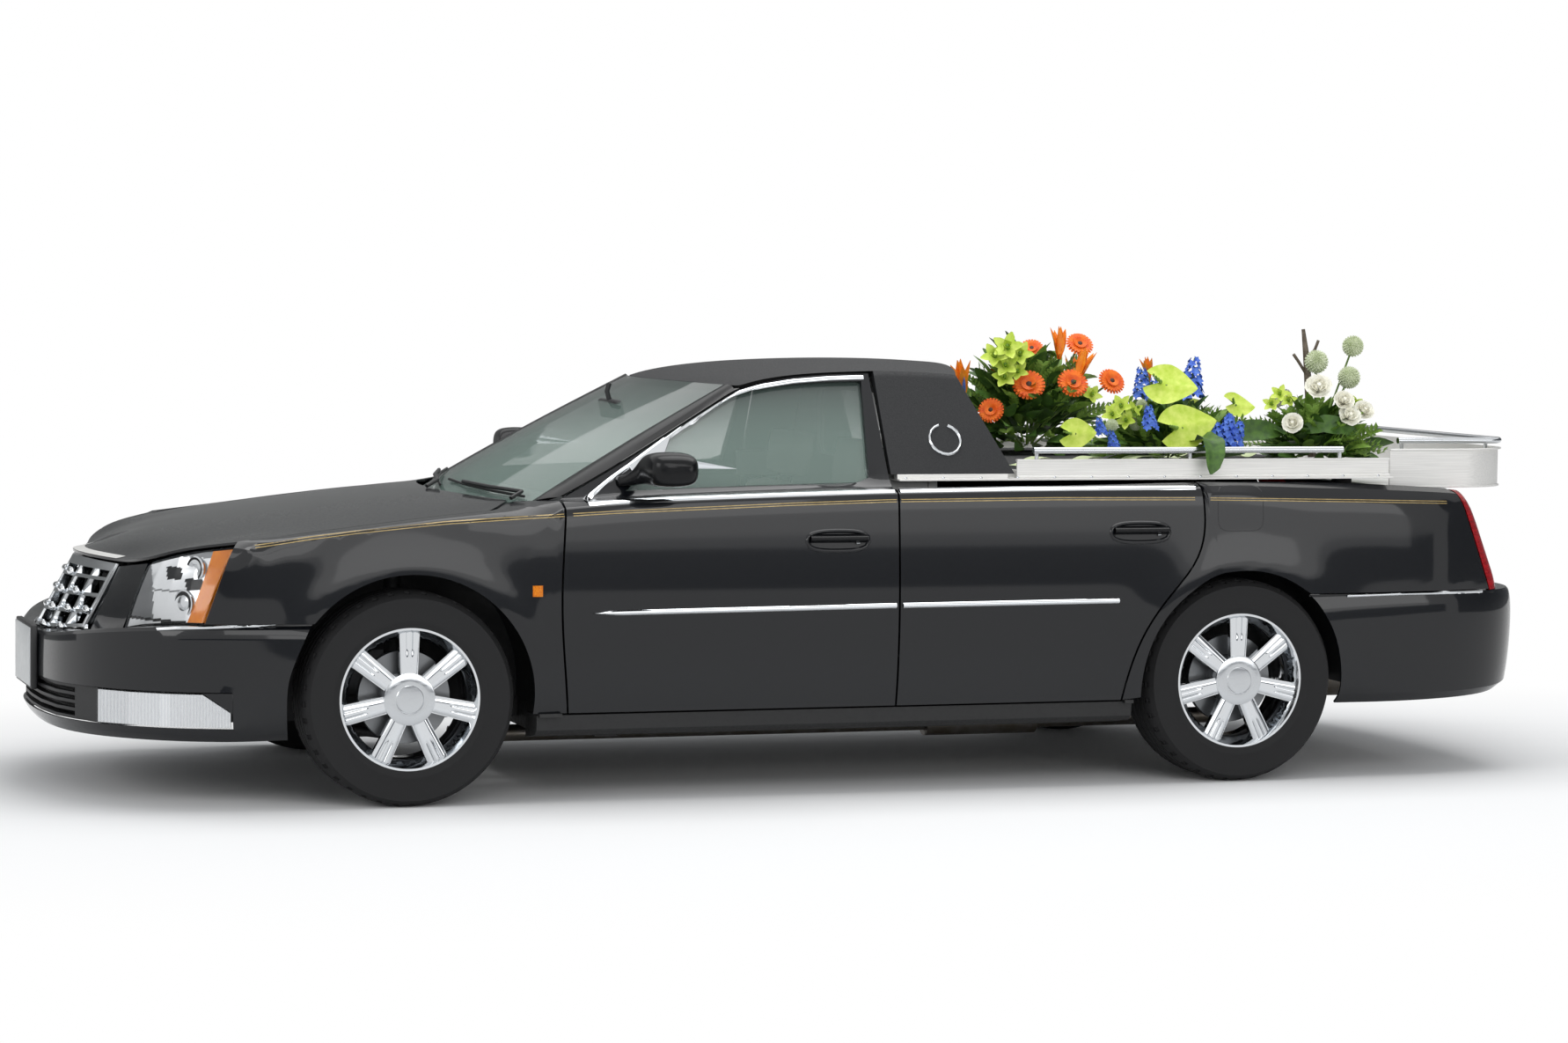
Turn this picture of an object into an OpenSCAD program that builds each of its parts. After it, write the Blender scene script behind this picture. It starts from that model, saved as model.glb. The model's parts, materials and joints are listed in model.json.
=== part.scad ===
/* [Overall] */
// Width over the doors
body_width = 1900; // [1870:1:1930]
// Height of the roof's crown above the ground
roof_height = 1440; // [1425:1:1465]
// Distance between the axles
wheelbase = 2936; // [2900:1:2980]
// Front bumper to front axle
front_overhang = 1104; // [1080:1:1130]
// Rear axle to rear bumper
rear_overhang = 1233; // [1200:1:1260]
// Distance between the middles of the tyres on one axle
track = 1575; // [1560:1:1590]
// Shut gap round the doors, the bonnet and the boot lid
shut_gap = 7; // [6.5:0.1:8]
// Thickness of fenders, quarters and bumper covers
skin_t = 8; // [6:0.5:10]

/* [Wheels] */
// Outer diameter of the tyre
tyre_d = 702; // [690:1:710]
// Width of the tyre
tyre_w = 245; // [235:1:250]
// Diameter over the rim's flanges
rim_d = 490; // [480:1:500]
// Width over the rim's flanges
rim_w = 216; // [206:1:220]
// Number of spokes
spoke_count = 7; // [5:1:9]
// Width of a spoke at the rim
spoke_w = 68; // [56:1:76]
// Diameter of the wheel's plain centre cap
cap_d = 168; // [150:1:180]
// Diameter of a stub axle
axle_d = 60; // [54:1:66]
// Running clearance of a hub on its stub axle, on the radius
hub_clear = 0.05; // [0.03:0.01:0.1]
// Radius of the front wheel arch
front_arch_r = 408; // [400:1:414]
// Radius of the rear wheel arch
rear_arch_r = 388; // [382:1:394]
// Steering axis to the middle of the front tyre
king_offset = 167; // [162:1:172]

/* [Doors] */
// Thickness of a door below its window
door_t = 95; // [85:1:100]
// Thickness of the window frame
frame_t = 40; // [34:1:44]
// Height of the doors' lower edge
door_z = 297; // [290:1:304]
// Front axle to the seam between the two doors
mid_seam_x = 1660; // [1640:1:1680]
// Thickness of the door and windscreen glass
glass_t = 5; // [4:0.5:6]
// Clearance of a fixed piece at its seat
seat_clear = 0.3; // [0.2:0.05:0.5]

/* [Flower tray] */
// Half width over the tray's side walls
tray_half_w = 812; // [800:1:820]
// Height of the tray's floor plate above the ground
tray_z = 1046; // [1044:1:1054]
// Height of the side walls above the floor plate
tray_wall_h = 70; // [60:1:80]
// Thickness of the tray's sheet
tray_t = 6; // [4:0.5:8]
// Diameter of the rails
rail_d = 22; // [18:1:26]
// Rear end of the main tray to the rear bumper
tray_to_tail = 634; // [629:1:644]
// Length of the tail tray
tail_l = 520; // [500:1:530]
// Height of the tail tray
tail_h = 138; // [120:1:145]

/* [Hidden] */
$fn = 48;

// x runs rearward from the front axle, y to the right, z up; place() moves it to the car's middle
body_length = front_overhang + wheelbase + rear_overhang;
mid_x = body_length / 2 - front_overhang;
wb = wheelbase;
half_w = body_width / 2;
hub_z = tyre_d / 2;
nose_x = -front_overhang;
tail_x = wheelbase + rear_overhang;
tray_end_x = tail_x - tray_to_tail;
hub_y = track / 2;
king_y = hub_y - king_offset;
paint = "#17191c";
chrome = "#d8dadc";
steel = "#4a4c4e";
alloy = "#d9d8d2";
glass = "#9fb7ad80";

// Height over which the body side rolls in above the shoulder, measured along the skin
roll_girth = 100;
// Height the wheel arch lips stand out and the width of their flare
flare_h = 6;
flare_w = 95;

// Body side, columns: x, inset of the widest line, shoulder height, inset of the upper edge, edge height
SIDE = [
  [-800, 120, 776, 190, 838],
  [-560, 52, 832, 130, 863],
  [-170, 26, 900, 125, 908],
  [130, 16, 925, 124, 943],
  [262, 13, 930, 126, 954],
  [300, 13, 931, 136, 958],
  [345, 12, 934, 208, 967],
  [392, 11.5, 936, 272, 977],
  [430, 11, 937.5, 256, 980],
  [475, 10, 940, 194, 984],
  [520, 9, 942, 146, 990],
  [700, 6, 953, 92, 1000],
  [1100, 2, 972, 78, 1013],
  [1660, 0, 989, 76, 1024],
  [wb - 486, 2, 996, 80, 1033],
  [wb - 176, 6, 996, 88, 1038],
  [wb + 364, 20, 985, 106, 1032],
  [tail_x - 569, 44, 970, 132, 1018],
  [tail_x - 409, 66, 961, 154, 1008],
  [tail_x - 233, 112, 945, 190, 985]];
// Section of the body side, columns: height, inset from the widest line
TUCK = [[200, 64], [297, 28], [430, 8], [620, 0], [780, 5], [900, 14], [1000, 22]];
// Seam between fender and front door, columns: height, x
FRONT_SEAM = [[200, 524], [297, 519], [628, 490], [900, 502], [1100, 516]];
// Rear edge of the rear door, columns: height, x
REAR_SEAM = [[297, wb - 458], [420, wb - 434], [550, wb - 382], [655, wb - 300], [735, wb - 210],
  [815, wb - 164], [920, wb - 160], [1100, wb - 174]];
// Nose plan from the middle outwards, columns: distance behind the nose, y, height of the bumper's upper edge
NOSE = [[0, 0, 528], [6, 190, 531], [30, 370, 540], [72, 490, 557], [128, 600, 571], [215, 705, 583],
  [318, 795, 591], [432, 852, 595], [527, 882, 596]];
// Rear edge of the bumper's upper ledge, columns: distance behind the nose, y
LEDGE = [[36, 0], [84, 190], [157, 345], [240, 487], [288, 592], [338, 692], [386, 782], [436, 846],
    [527, 874]];
// Front edge of the bonnet, columns: share of the half width, distance behind the nose, y, height
BONNET_EDGE = [[0, 147, 0, 786], [0.25, 177, 190, 783], [0.46, 250, 345, 776], [0.64, 274, 480, 784],
  [0.8, 309, 594, 800], [0.9, 385, 690, 834], [1, 560, 813, 863]];
// Crest of the bonnet between its flat top and its side flank, columns: x, y, height
CREST = [[-960, 470, 768], [-840, 520, 803], [-667, 560, 841], [-480, 590, 875], [-306, 604, 901],
  [-119, 614, 926], [189, 630, 964], [345, 640, 977], [410, 644, 981]];
// Upper edge of a head lamp, columns: distance behind the nose, y, height
LAMP_TOP = [[302, 604, 782], [337, 655, 802], [388, 706, 820], [458, 756, 838], [546, 806, 848]];
// Roof from the windscreen to its rear edge, columns: x at the drip edge, x in the middle, drip edge y,
// drip edge height, drop of the crown below the roof height
ROOF = [[1182, 1062, 658, 1360, 74], [1230, 1120, 652, 1376, 56], [1330, 1230, 644, 1394, 32],
  [1480, 1400, 637, 1406, 12], [mid_seam_x + shut_gap, 1640, 633, 1411, 2], [1780, 1800, 633, 1410, 0],
  [1890, 1960, 634, 1405, 2], [1966, 2090, 637, 1398, 10]];
// Rear plan from the middle outwards, columns: distance ahead of the tail, y
TAIL = [[0, 0], [4, 220], [14, 400], [38, 600], [74, 700], [128, 778], [216, 846], [366, 893],
    [600, 918]];
// Boot lid from its front edge to its lower edge, columns: x, height, half width, bow
BOOT = [[tail_x - 617, 1008, 800, 0], [tail_x - 529, 1008, 792, 4], [tail_x - 429, 1005, 776, 10],
  [tail_x - 333, 998, 742, 20], [tail_x - 271, 972, 712, 32], [tail_x - 221, 915, 700, 40],
  [tail_x - 169, 800, 696, 44], [tail_x - 113, 674, 696, 48]];

// Cubic interpolation of one column of a table by its first column
function seg(tab, x, i = 0) = (i >= len(tab) - 2 || x < tab[i + 1][0]) ? i : seg(tab, x, i + 1);
function slope(tab, col, i) =
  let (a = max(i - 1, 0), b = min(i + 1, len(tab) - 1)) (tab[b][col] - tab[a][col]) / (tab[b][0] - tab[a][0]);
function curve(tab, col, at) =
  let (x = min(max(at, tab[0][0]), tab[len(tab) - 1][0]), i = seg(tab, x), h = tab[i + 1][0] - tab[i][0],
       t = (x - tab[i][0]) / h)
  (2 * t ^ 3 - 3 * t ^ 2 + 1) * tab[i][col] + (t ^ 3 - 2 * t ^ 2 + t) * h * slope(tab, col, i)
  + (3 * t ^ 2 - 2 * t ^ 3) * tab[i + 1][col] + (t ^ 3 - t ^ 2) * h * slope(tab, col, i + 1);
function mix(a, b, t) = a + (b - a) * t;
function smooth(t) = let (c = min(max(t, 0), 1)) c * c * (3 - 2 * c);

// Points along a chain of straight runs: each run is [from, to, steps]
function chain(runs) =
  [for (k = [0:len(runs) - 1]) let (n = runs[k][2])
    for (i = [0:n - (k == len(runs) - 1 ? 0 : 1)]) mix(runs[k][0], runs[k][1], i / n)];
// Points of an arch round an axle, in x and height
function arch(x, r, from, to, n) = [for (i = [0:n]) let (a = mix(from, to, i / n))
    [x + r * cos(a), hub_z + r * sin(a)]];

// Body side: a point from x and the height along the skin, past the shoulder it rolls in to the edge
function shoulder_z(x) = curve(SIDE, 2, x);
function edge_y(x) = half_w - curve(SIDE, 3, x);
function edge_z(x) = curve(SIDE, 4, x);
function lip(x, z, ax, r) = flare_h * (1 - smooth((norm([x - ax, z - hub_z]) - r - 15) / flare_w));
function flat_y(x, z) = half_w - curve(SIDE, 1, x) - curve(TUCK, 1, z);
function side_y(x, z) = flat_y(x, z) + lip(x, z, 0, front_arch_r) + lip(x, z, wb, rear_arch_r);
function on_side(x, w) =
  let (s = shoulder_z(x), e = min(max((w - s) / roll_girth, 0), 1), y = side_y(x, min(w, s)))
  [x, y - (y - edge_y(x)) * (1 - cos(90 * e)), e > 0 ? s + (edge_z(x) - s) * sin(90 * e) : w];
function skin_top(x) = shoulder_z(x) + roll_girth;
// The same point on the panel's inner face, square to the skin in its cross section
function in_side(x, w, t) =
  let (d = on_side(x, w + 3) - on_side(x, w - 3), n = [0, d[2], -d[1]] / norm([d[1], d[2]]))
      on_side(x, w) - t * n;

// Greenhouse side: half width at x and a height above the belt
function glass_y(x, z) = min(850, edge_y(x) - 24) - (z - 1030) * 0.58;

// A grid moved inwards along its own normals
function grid_normal(P, i, j) =
  let (a = P[min(i + 1, len(P) - 1)][j] - P[max(i - 1, 0)][j],
       b = P[i][min(j + 1, len(P[0]) - 1)] - P[i][max(j - 1, 0)], n = cross(b, a))
           n / max(norm(n), 0.001);
function inset(P, t) = [for (i = [0:len(P) - 1]) [for (j = [0:len(P[0]) - 1])
    P[i][j] - t * grid_normal(P, i, j)]];

// A wall between an outer and an inner grid, with the cells that keep leaves out cut through
module skin(P, Q, keep = []) {
  nu = len(P);
  nv = len(P[0]);
  function o(i, j) = i * nv + j;
  function n(i, j) = nu * nv + i * nv + j;
  function kept(i, j) = i >= 0 && j >= 0 && i < nu - 1 && j < nv - 1 && (len(keep) == 0 || keep[i][j]);
  faces = [for (i = [0:nu - 2], j = [0:nv - 2]) if (kept(i, j)) each concat(
    [[o(i, j), o(i + 1, j), o(i + 1, j + 1)], [o(i, j), o(i + 1, j + 1), o(i, j + 1)],
     [n(i, j), n(i + 1, j + 1), n(i + 1, j)], [n(i, j), n(i, j + 1), n(i + 1, j + 1)]],
    kept(i, j - 1) ? [] : [[o(i + 1, j), o(i, j), n(i, j)], [o(i + 1, j), n(i, j), n(i + 1, j)]],
    kept(i + 1, j) ? [] : [[o(i + 1, j + 1), o(i + 1, j), n(i + 1, j)],
        [o(i + 1, j + 1), n(i + 1, j), n(i + 1, j + 1)]],
    kept(i, j + 1) ? [] : [[o(i, j + 1), o(i + 1, j + 1), n(i + 1, j + 1)],
        [o(i, j + 1), n(i + 1, j + 1), n(i, j + 1)]],
    kept(i - 1, j) ? [] : [[o(i, j), o(i, j + 1), n(i, j + 1)], [o(i, j), n(i, j + 1), n(i, j)]])];
  polyhedron(points = concat([for (row = P) each row], [for (row = Q) each row]), faces = faces);
}

module place() { translate([-mid_x, 0, 0]) children(); }
module left() { mirror([0, 1, 0]) children(); }
module both() { children(); left() children(); }
// A round bar between two points
module bar(p, q, d) {
  v = q - p;
  translate(p) rotate([0, acos(v[2] / norm(v)), atan2(v[1], v[0])]) cylinder(d = d, h = norm(v));
}
// A box from its low corner to its high corner
module box(lo, hi) { translate(lo) cube(hi - lo); }

// Panels of the body side

// Rows of a panel between the arch and its outer edge, as shares
PANEL_ROWS = [0, 0.09, 0.2, 0.34, 0.5, 0.63, 0.75, 0.87, 1];
bumper_seam_z = 604;
function ruled(low, high, rows) = [for (i = [0:len(low) - 1]) [for (v = rows) mix(low[i], high[i], v)]];

// Columns along the fender's upper edge, closer where it turns in behind the bonnet
FENDER_TOP = [-440, -310, -170, -20, 130, 230, 280, 306, 345, 392, 430, 475];
module fender() {
  a0 = 180 - asin((bumper_seam_z - hub_z) / front_arch_r);
  a1 = asin((door_z - hub_z) / front_arch_r);
  lamp_foot = nose_x + LEDGE[7][0] + 4;
  lamp_top = nose_x + LAMP_TOP[4][0] + 8;
  seam = door_w(front_x(600, 0));
  high = concat(
    chain([[[lamp_foot, bumper_seam_z], [lamp_top, skin_top(lamp_top)], 5]]),
    [for (x = FENDER_TOP) [x, skin_top(x)]],
    [for (k = [len(seam) - 1:-1:0]) [curve(FRONT_SEAM, 1, seam[k]), seam[k]]]);
  low = arch(0, front_arch_r, a0, a1, len(high) - 1);
  net = ruled(low, high, PANEL_ROWS);
  skin([for (col = net) [for (p = col) on_side(p[0], p[1])]],
      [for (col = net) [for (p = col) in_side(p[0], p[1], skin_t)]]);
}

// Rear edge of the rear door moved back by the shut gap, measured square to the edge
function rear_gap_x(w) =
  let (d = (curve(REAR_SEAM, 1, w + 8) - curve(REAR_SEAM, 1, w - 8)) / 16)
      curve(REAR_SEAM, 1, w) + shut_gap * sqrt(1 + d * d);
module quarter() {
  a0 = 180 - asin((door_z - hub_z) / rear_arch_r);
  a1 = asin((bumper_seam_rear_z - hub_z) / rear_arch_r);
  arch_end = wb + rear_arch_r * cos(a1);
  seam = door_w(wb - 180);
  front_top = rear_gap_x(seam[len(seam) - 1]);
  end = lamp_line(1);
  high = concat([for (w = seam) [rear_gap_x(w), w]], [for (k = [1:10])
      let (x = mix(front_top, end[0], k / 10)) [x, skin_top(x)]]);
  n = len(seam);
  turns = [for (p = [for (k = [0:n - 1]) high[k]]) min(a0, atan2(p[1] - hub_z, p[0] - wb))];
  foot_steps = 6;
  rest = len(high) - n - foot_steps;
  angles = concat(turns, [for (k = [1:rest]) mix(turns[n - 1], a1, k / rest)]);
  low = concat([for (t = angles) [wb + rear_arch_r * cos(t), hub_z + rear_arch_r * sin(t)]],
    [for (k = [1:foot_steps]) mix([arch_end, bumper_seam_rear_z], lamp_line(0), k / foot_steps)]);
  net = ruled(low, high, PANEL_ROWS);
  skin([for (col = net) [for (p = col) on_side(p[0], p[1])]],
      [for (col = net) [for (p = col) in_side(p[0], p[1], skin_t)]]);
}
bumper_seam_rear_z = 652;
// Rear edge of the quarter beside the tail lamp, from its foot to the shoulder, in x and height along the skin
function lamp_line(v) = let (top = tail_x - 404) mix([tail_x - 247, bumper_seam_rear_z],
    [top, skin_top(top)], v);

// Doors

// Rows of a door up to the shoulder, as shares of the way, and rows of its rolled edge
DOOR_ROWS = [0, 0.12, 0.3, 0.48, 0.66, 0.82, 0.94];
EDGE_ROWS = [0, 0.35, 0.7, 1];
function door_w(x) = concat([for (f = DOOR_ROWS) mix(door_z, shoulder_z(x), f)],
  [for (e = EDGE_ROWS) shoulder_z(x) + e * roll_girth]);
// Inner face of a door at a point of its skin; the rear end is cut back so that it swings clear of its neighbour
end_taper = 18;
function door_inner(p, u) =
  let (lean = 66 * smooth((p[2] - 800) / 220))
  [p[0] - (u == 1 ? end_taper : 0), flat_y(p[0], 620) - door_t - lean, min(p[2], edge_z(p[0]) - 36)];

// Columns across the front door, as shares: the window lies between the second and the last but one
FRONT_COLS = [0, 0.05, 0.16, 0.29, 0.42, 0.55, 0.68, 0.81, 0.935, 1];
// Rows of the window, as shares of the way from the belt to the top of the frame
WINDOW_ROWS = [0.05, 0.3, 0.55, 0.78, 0.935, 1];
// Upper edge of the window frame, columns: share, x, height
FRAME_TOP = [[0, 1166, 1342], [0.14, 1236, 1364], [0.34, 1340, 1384], [0.6, 1478, 1397],
    [1, mid_seam_x - 12, 1402]];
function front_x(w, u) = mix(curve(FRONT_SEAM, 1, w) + shut_gap, mid_seam_x - shut_gap / 2, u);
function belt(u) = let (x = front_x(skin_top(1100), u)) [x, edge_z(x)];
function window_xz(u, v) = mix(belt(u), [curve(FRAME_TOP, 1, u), curve(FRAME_TOP, 2, u)], v);
function window_point(u, v, inward) = let (p = window_xz(u, v))
    [p[0], glass_y(p[0], p[1]) - inward, p[1]];

module front_door() {
  lower = [for (u = FRONT_COLS) let (xm = front_x(600, u))
      [for (w = door_w(xm)) on_side(front_x(w, u), w)]];
  P = [for (i = [0:len(lower) - 1]) concat(lower[i], [for (v = WINDOW_ROWS)
      window_point(FRONT_COLS[i], v, 0)])];
  Q = [for (i = [0:len(lower) - 1]) concat([for (p = lower[i]) door_inner(p, FRONT_COLS[i])],
    [for (v = WINDOW_ROWS) window_point(FRONT_COLS[i], v, frame_t)])];
  belt_row = len(lower[0]);
  keep = [for (i = [0:len(P) - 2]) [for (j = [0:len(P[0]) - 2])
    !(j >= belt_row && j < len(P[0]) - 2 && i > 0 && i < len(P) - 2) || (i == 1 && j == belt_row)]];
  skin(P, Q, keep);
}

// The glass leaves the front corner out, where the mirror stands on the frame
module door_glass() {
  n = len(FRONT_COLS) - 2;
  m = len(WINDOW_ROWS) - 2;
  gap_u = seat_clear / (mid_seam_x - FRONT_SEAM[4][1]);
  gap_v = seat_clear / (FRAME_TOP[2][2] - edge_z(1100));
  P = [for (i = [1:n]) [for (j = [0:m])
    window_point(FRONT_COLS[i] + (i == n ? -gap_u : gap_u), WINDOW_ROWS[j] + (j == m ? -gap_v : gap_v),
        frame_t / 2)]];
  keep = [for (i = [0:n - 2]) [for (j = [0:m - 1]) i > 0 || j > 0]];
  skin(P, [for (col = P) [for (p = col) p - [0, glass_t, 0]]], keep);
}

module rear_door() {
  cols = [0, 0.07, 0.16, 0.27, 0.39, 0.51, 0.63, 0.75, 0.87, 1];
  P = [for (u = cols) let (xm = mix(mid_seam_x, wb - 180, u))
    [for (w = door_w(xm)) on_side(mix(mid_seam_x + shut_gap / 2, curve(REAR_SEAM, 1, w), u), w)]];
  skin(P, [for (i = [0:len(cols) - 1]) [for (p = P[i]) door_inner(p, cols[i])]]);
}

// Door mirror: rounded housing on an arm that stands on the frame's front corner
module mirror_part() {
  // Sections from the door outwards, columns: y, x, height, half length, half height
  MIRROR = [[0, 728, 1050, 24, 18], [880, 758, 1060, 26, 18], [918, 796, 1090, 46, 44],
      [940, 826, 1096, 74, 56],
    [1000, 838, 1097, 84, 60], [1050, 842, 1096, 82, 55], [1076, 846, 1095, 62, 40],
        [1084, 850, 1094, 36, 22]];
  n = 16;
  ring = [for (k = [0:n - 1]) let (a = -360 * k / n)
      [sign(cos(a)) * abs(cos(a)) ^ 0.6, sign(sin(a)) * abs(sin(a)) ^ 0.6]];
  points = [for (s = MIRROR) for (r = ring) let (x = s[1] + s[3] * r[0], z = s[2] + s[4] * r[1])
    [x, s[0] == 0 ? glass_y(x, z) - 0.6 : s[0], z]];
  m = len(MIRROR);
  polyhedron(points = points, faces = concat([[for (k = [0:n - 1]) k]],
      [[for (k = [0:n - 1]) (m - 1) * n + n - 1 - k]],
    [for (j = [0:m - 2], k = [0:n - 1]) each [
      [j * n + k, (j + 1) * n + k, (j + 1) * n + (k + 1) % n],
      [j * n + k, (j + 1) * n + (k + 1) % n, j * n + (k + 1) % n]]]));
}

// Nose

function both_sides(n) = [for (k = [-n:n]) k];
function nose_top(k) = NOSE[abs(k)][2];
// A point of the bumper cover from its column, height and inset; the last column follows the wheel arch
function bumper_front(k, z, in) =
  let (c = abs(k), s = sign(k))
  c < len(NOSE) ? [nose_x + NOSE[c][0] + in, s * (NOSE[c][1] - in * c / 9), z]
    : [-sqrt(front_arch_r ^ 2 - (z - hub_z) ^ 2), s * (side_y(-420, z) - in), z];
function ledge_front(k, z) =
  let (c = abs(k), s = sign(k))
  c < len(LEDGE) ? [nose_x + LEDGE[c][0], s * LEDGE[c][1], z]
    : [-sqrt(front_arch_r ^ 2 - (z - hub_z) ^ 2), s * (side_y(-420, z) - 12), z];
bumper_cols = 9;
chin_z = 222;
mouth_low_z = 266;
mouth_high_z = 384;
fascia_top = [[nose_x + 250, 345, 752], [nose_x + 304, 594, 780]];

module front_bumper_part() {
  P = [for (k = both_sides(bumper_cols)) let (t = k == 0 ? NOSE[0][2]
      : (abs(k) < bumper_cols ? nose_top(k) : NOSE[8][2]),
      c = abs(k), f = c == 2 ? fascia_top[0] : fascia_top[1])
    [bumper_front(k, chin_z, 34), bumper_front(k, chin_z + 20, 14), bumper_front(k, mouth_low_z, 4),
     bumper_front(k, mouth_high_z, 0), bumper_front(k, 450, 0), bumper_front(k, t - 12, 2),
         bumper_front(k, t, 12),
     ledge_front(k, t + 5),
     c == 2 || c == 3 ? [f[0], sign(k) * f[1], f[2]] : ledge_front(k, t + 60)]];
  keep = [for (i = [0:2 * bumper_cols - 1]) let (c = i < bumper_cols ? bumper_cols - 1 - i
      : i - bumper_cols)
    [for (j = [0:7]) (j == 2 ? c == 8 : (j == 7 ? c == 2 : true))]];
  skin(P, inset(P, skin_t), keep);
}

// Chrome crate of the radiator grille: flat bars on a raked, pointed face, with the lower grille behind the mouth
crate_bar = 12;
crate_depth = 30;
crate_cols = 3;
crate_rows = 4;
grille_foot_z = 536.6;
function grille_face(s, v) =
  let (y = mix(300, 336, v) * s, a = abs(s))
  [nose_x + mix(24, 150, v) + a * a * 40 + a * mix(76, 52, v), y,
      mix(grille_foot_z + 15 * a * a, 772 - 10 * a, v)];
module grille_part() {
  bar_u = crate_bar / 336;
  bar_v = crate_bar / 236;
  us = concat([for (k = [-crate_cols:crate_cols - 1]) each [k / crate_cols - (k == -crate_cols ? 0
      : bar_u / 2),
    k / crate_cols + bar_u * (k == -crate_cols ? 1 : 0.5)]], [1 - bar_u, 1]);
  vs = concat([0, bar_v], [for (k = [1:crate_rows - 1]) each [k / crate_rows - bar_v / 2,
      k / crate_rows + bar_v / 2]],
    [1 - 2.4 * bar_v, 1]);
  P = [for (s = us) [for (v = vs) grille_face(s, v)]];
  Q = [for (col = P) [for (p = col) p + [crate_depth, 0, -crate_depth * 0.25]]];
  keep = [for (i = [0:len(us) - 2]) [for (j = [0:len(vs) - 2]) i % 2 == 0 || j % 2 == 0]];
  skin(P, Q, keep);
  lower_bars = 4;
  zs = [for (k = [0:lower_bars]) each [mix(mouth_low_z + 3, mouth_high_z - 13, k / lower_bars),
    mix(mouth_low_z + 3, mouth_high_z - 13, k / lower_bars) + 10]];
  L = [for (k = [-4:4]) [for (z = zs) bumper_front(k, z, 14)]];
  LQ = [for (col = L) [for (p = col) p + [24, 0, 0]]];
  ribs = [for (k = [0:len(L) - 2]) [for (j = [0:len(zs) - 2]) j % 2 == 0 || k == 0 || k == len(L) - 2]];
  skin(L, LQ, ribs);
}

lamp_depth = 90;
module head_lamp() {
  rows = [0, 0.25, 0.5, 0.75, 1];
  P = [for (k = [3:7]) let (foot = ledge_front(k, nose_top(k) + 6.3) + (k == 3 ? [7, 5, 0] : [0, 0, 0]),
      top = [nose_x + LAMP_TOP[k - 3][0], LAMP_TOP[k - 3][1], LAMP_TOP[k - 3][2]]
          + (k == 3 ? [2, 3, 0] : [0, -2, -4.5]))
    [for (v = rows) mix(foot, top, v) + [-14, 10, 4] * sin(180 * v) * (k == 3 || k == 7 ? 0.4 : 1)]];
  Q = [for (col = P) [for (p = col) p + [lamp_depth, -lamp_depth * 0.55, 0]]];
  skin(P, Q);
}

// Depth of a fog lamp by column, in x and y
FOG_BACK = [[34, 6], [32, -10], [28, -20], [20, -28], [8, -32]];
module fog_lamp() {
  P = [for (k = [4:8]) let (low = mouth_low_z + 1.6, high = mouth_high_z - (k == 8 ? 64 : 4))
    [for (v = [0, 0.5, 1]) bumper_front(k, mix(low, high, v), 6)
        + (k == 4 ? [4, 4, 0] : (k == 8 ? [-7, 0, 0] : [0, 0, 0]))]];
  Q = [for (k = [0:4]) [for (p = P[k]) p + [FOG_BACK[k][0], FOG_BACK[k][1], 0]]];
  skin(P, Q);
}

// Bonnet

bonnet_t = 8;
BONNET_COLS = [1, 0.97, 0.9, 0.8, 0.64, 0.46, 0.25, 0, -0.25, -0.46, -0.64, -0.8, -0.9, -0.97, -1];
BONNET_ROWS = [0, 0.03, 0.08, 0.16, 0.28, 0.44, 0.62, 0.8, 0.93, 1];
bonnet_rear_x = 276;
bonnet_crest_x = 382;
bonnet_corner_x = 276;
crest_share = 0.8;
bonnet_crown = 14;
nose_blend = 0.12;
// A point from its share of the half width and of the length: flat top, crest and flank, run in to the front edge
function bonnet_end(a) =
  a < crest_share ? mix(bonnet_rear_x, bonnet_crest_x, (a / crest_share) ^ 2)
    : mix(bonnet_crest_x, bonnet_corner_x, (a - crest_share) / (1 - crest_share));
function bonnet_point(f, s) =
  let (a = abs(f), x = mix(nose_x + curve(BONNET_EDGE, 1, a), bonnet_end(a), s),
      t = min(a / crest_share, 1),
       flank = max((a - crest_share) / (1 - crest_share), 0), side_x = a == 1 ? x : min(x, SIDE[4][0]),
       y = mix(t * curve(CREST, 1, x), edge_y(side_x) - shut_gap, flank),
       z = mix(curve(CREST, 2, x) + bonnet_crown * (1 - t * t), edge_z(side_x), flank),
           b = smooth(s / nose_blend))
  [x, sign(f) * (a == 1 ? y : mix(curve(BONNET_EDGE, 2, a), y, b)), mix(curve(BONNET_EDGE, 3, a), z, b)];
module bonnet_part() {
  P = [for (s = BONNET_ROWS) [for (f = BONNET_COLS) bonnet_point(f, s)]];
  skin(P, inset(P, bonnet_t));
}

// Cowl and glass

pillar_foot_x = 430;
screen_half_y = edge_y(pillar_foot_x) - 4;
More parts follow.
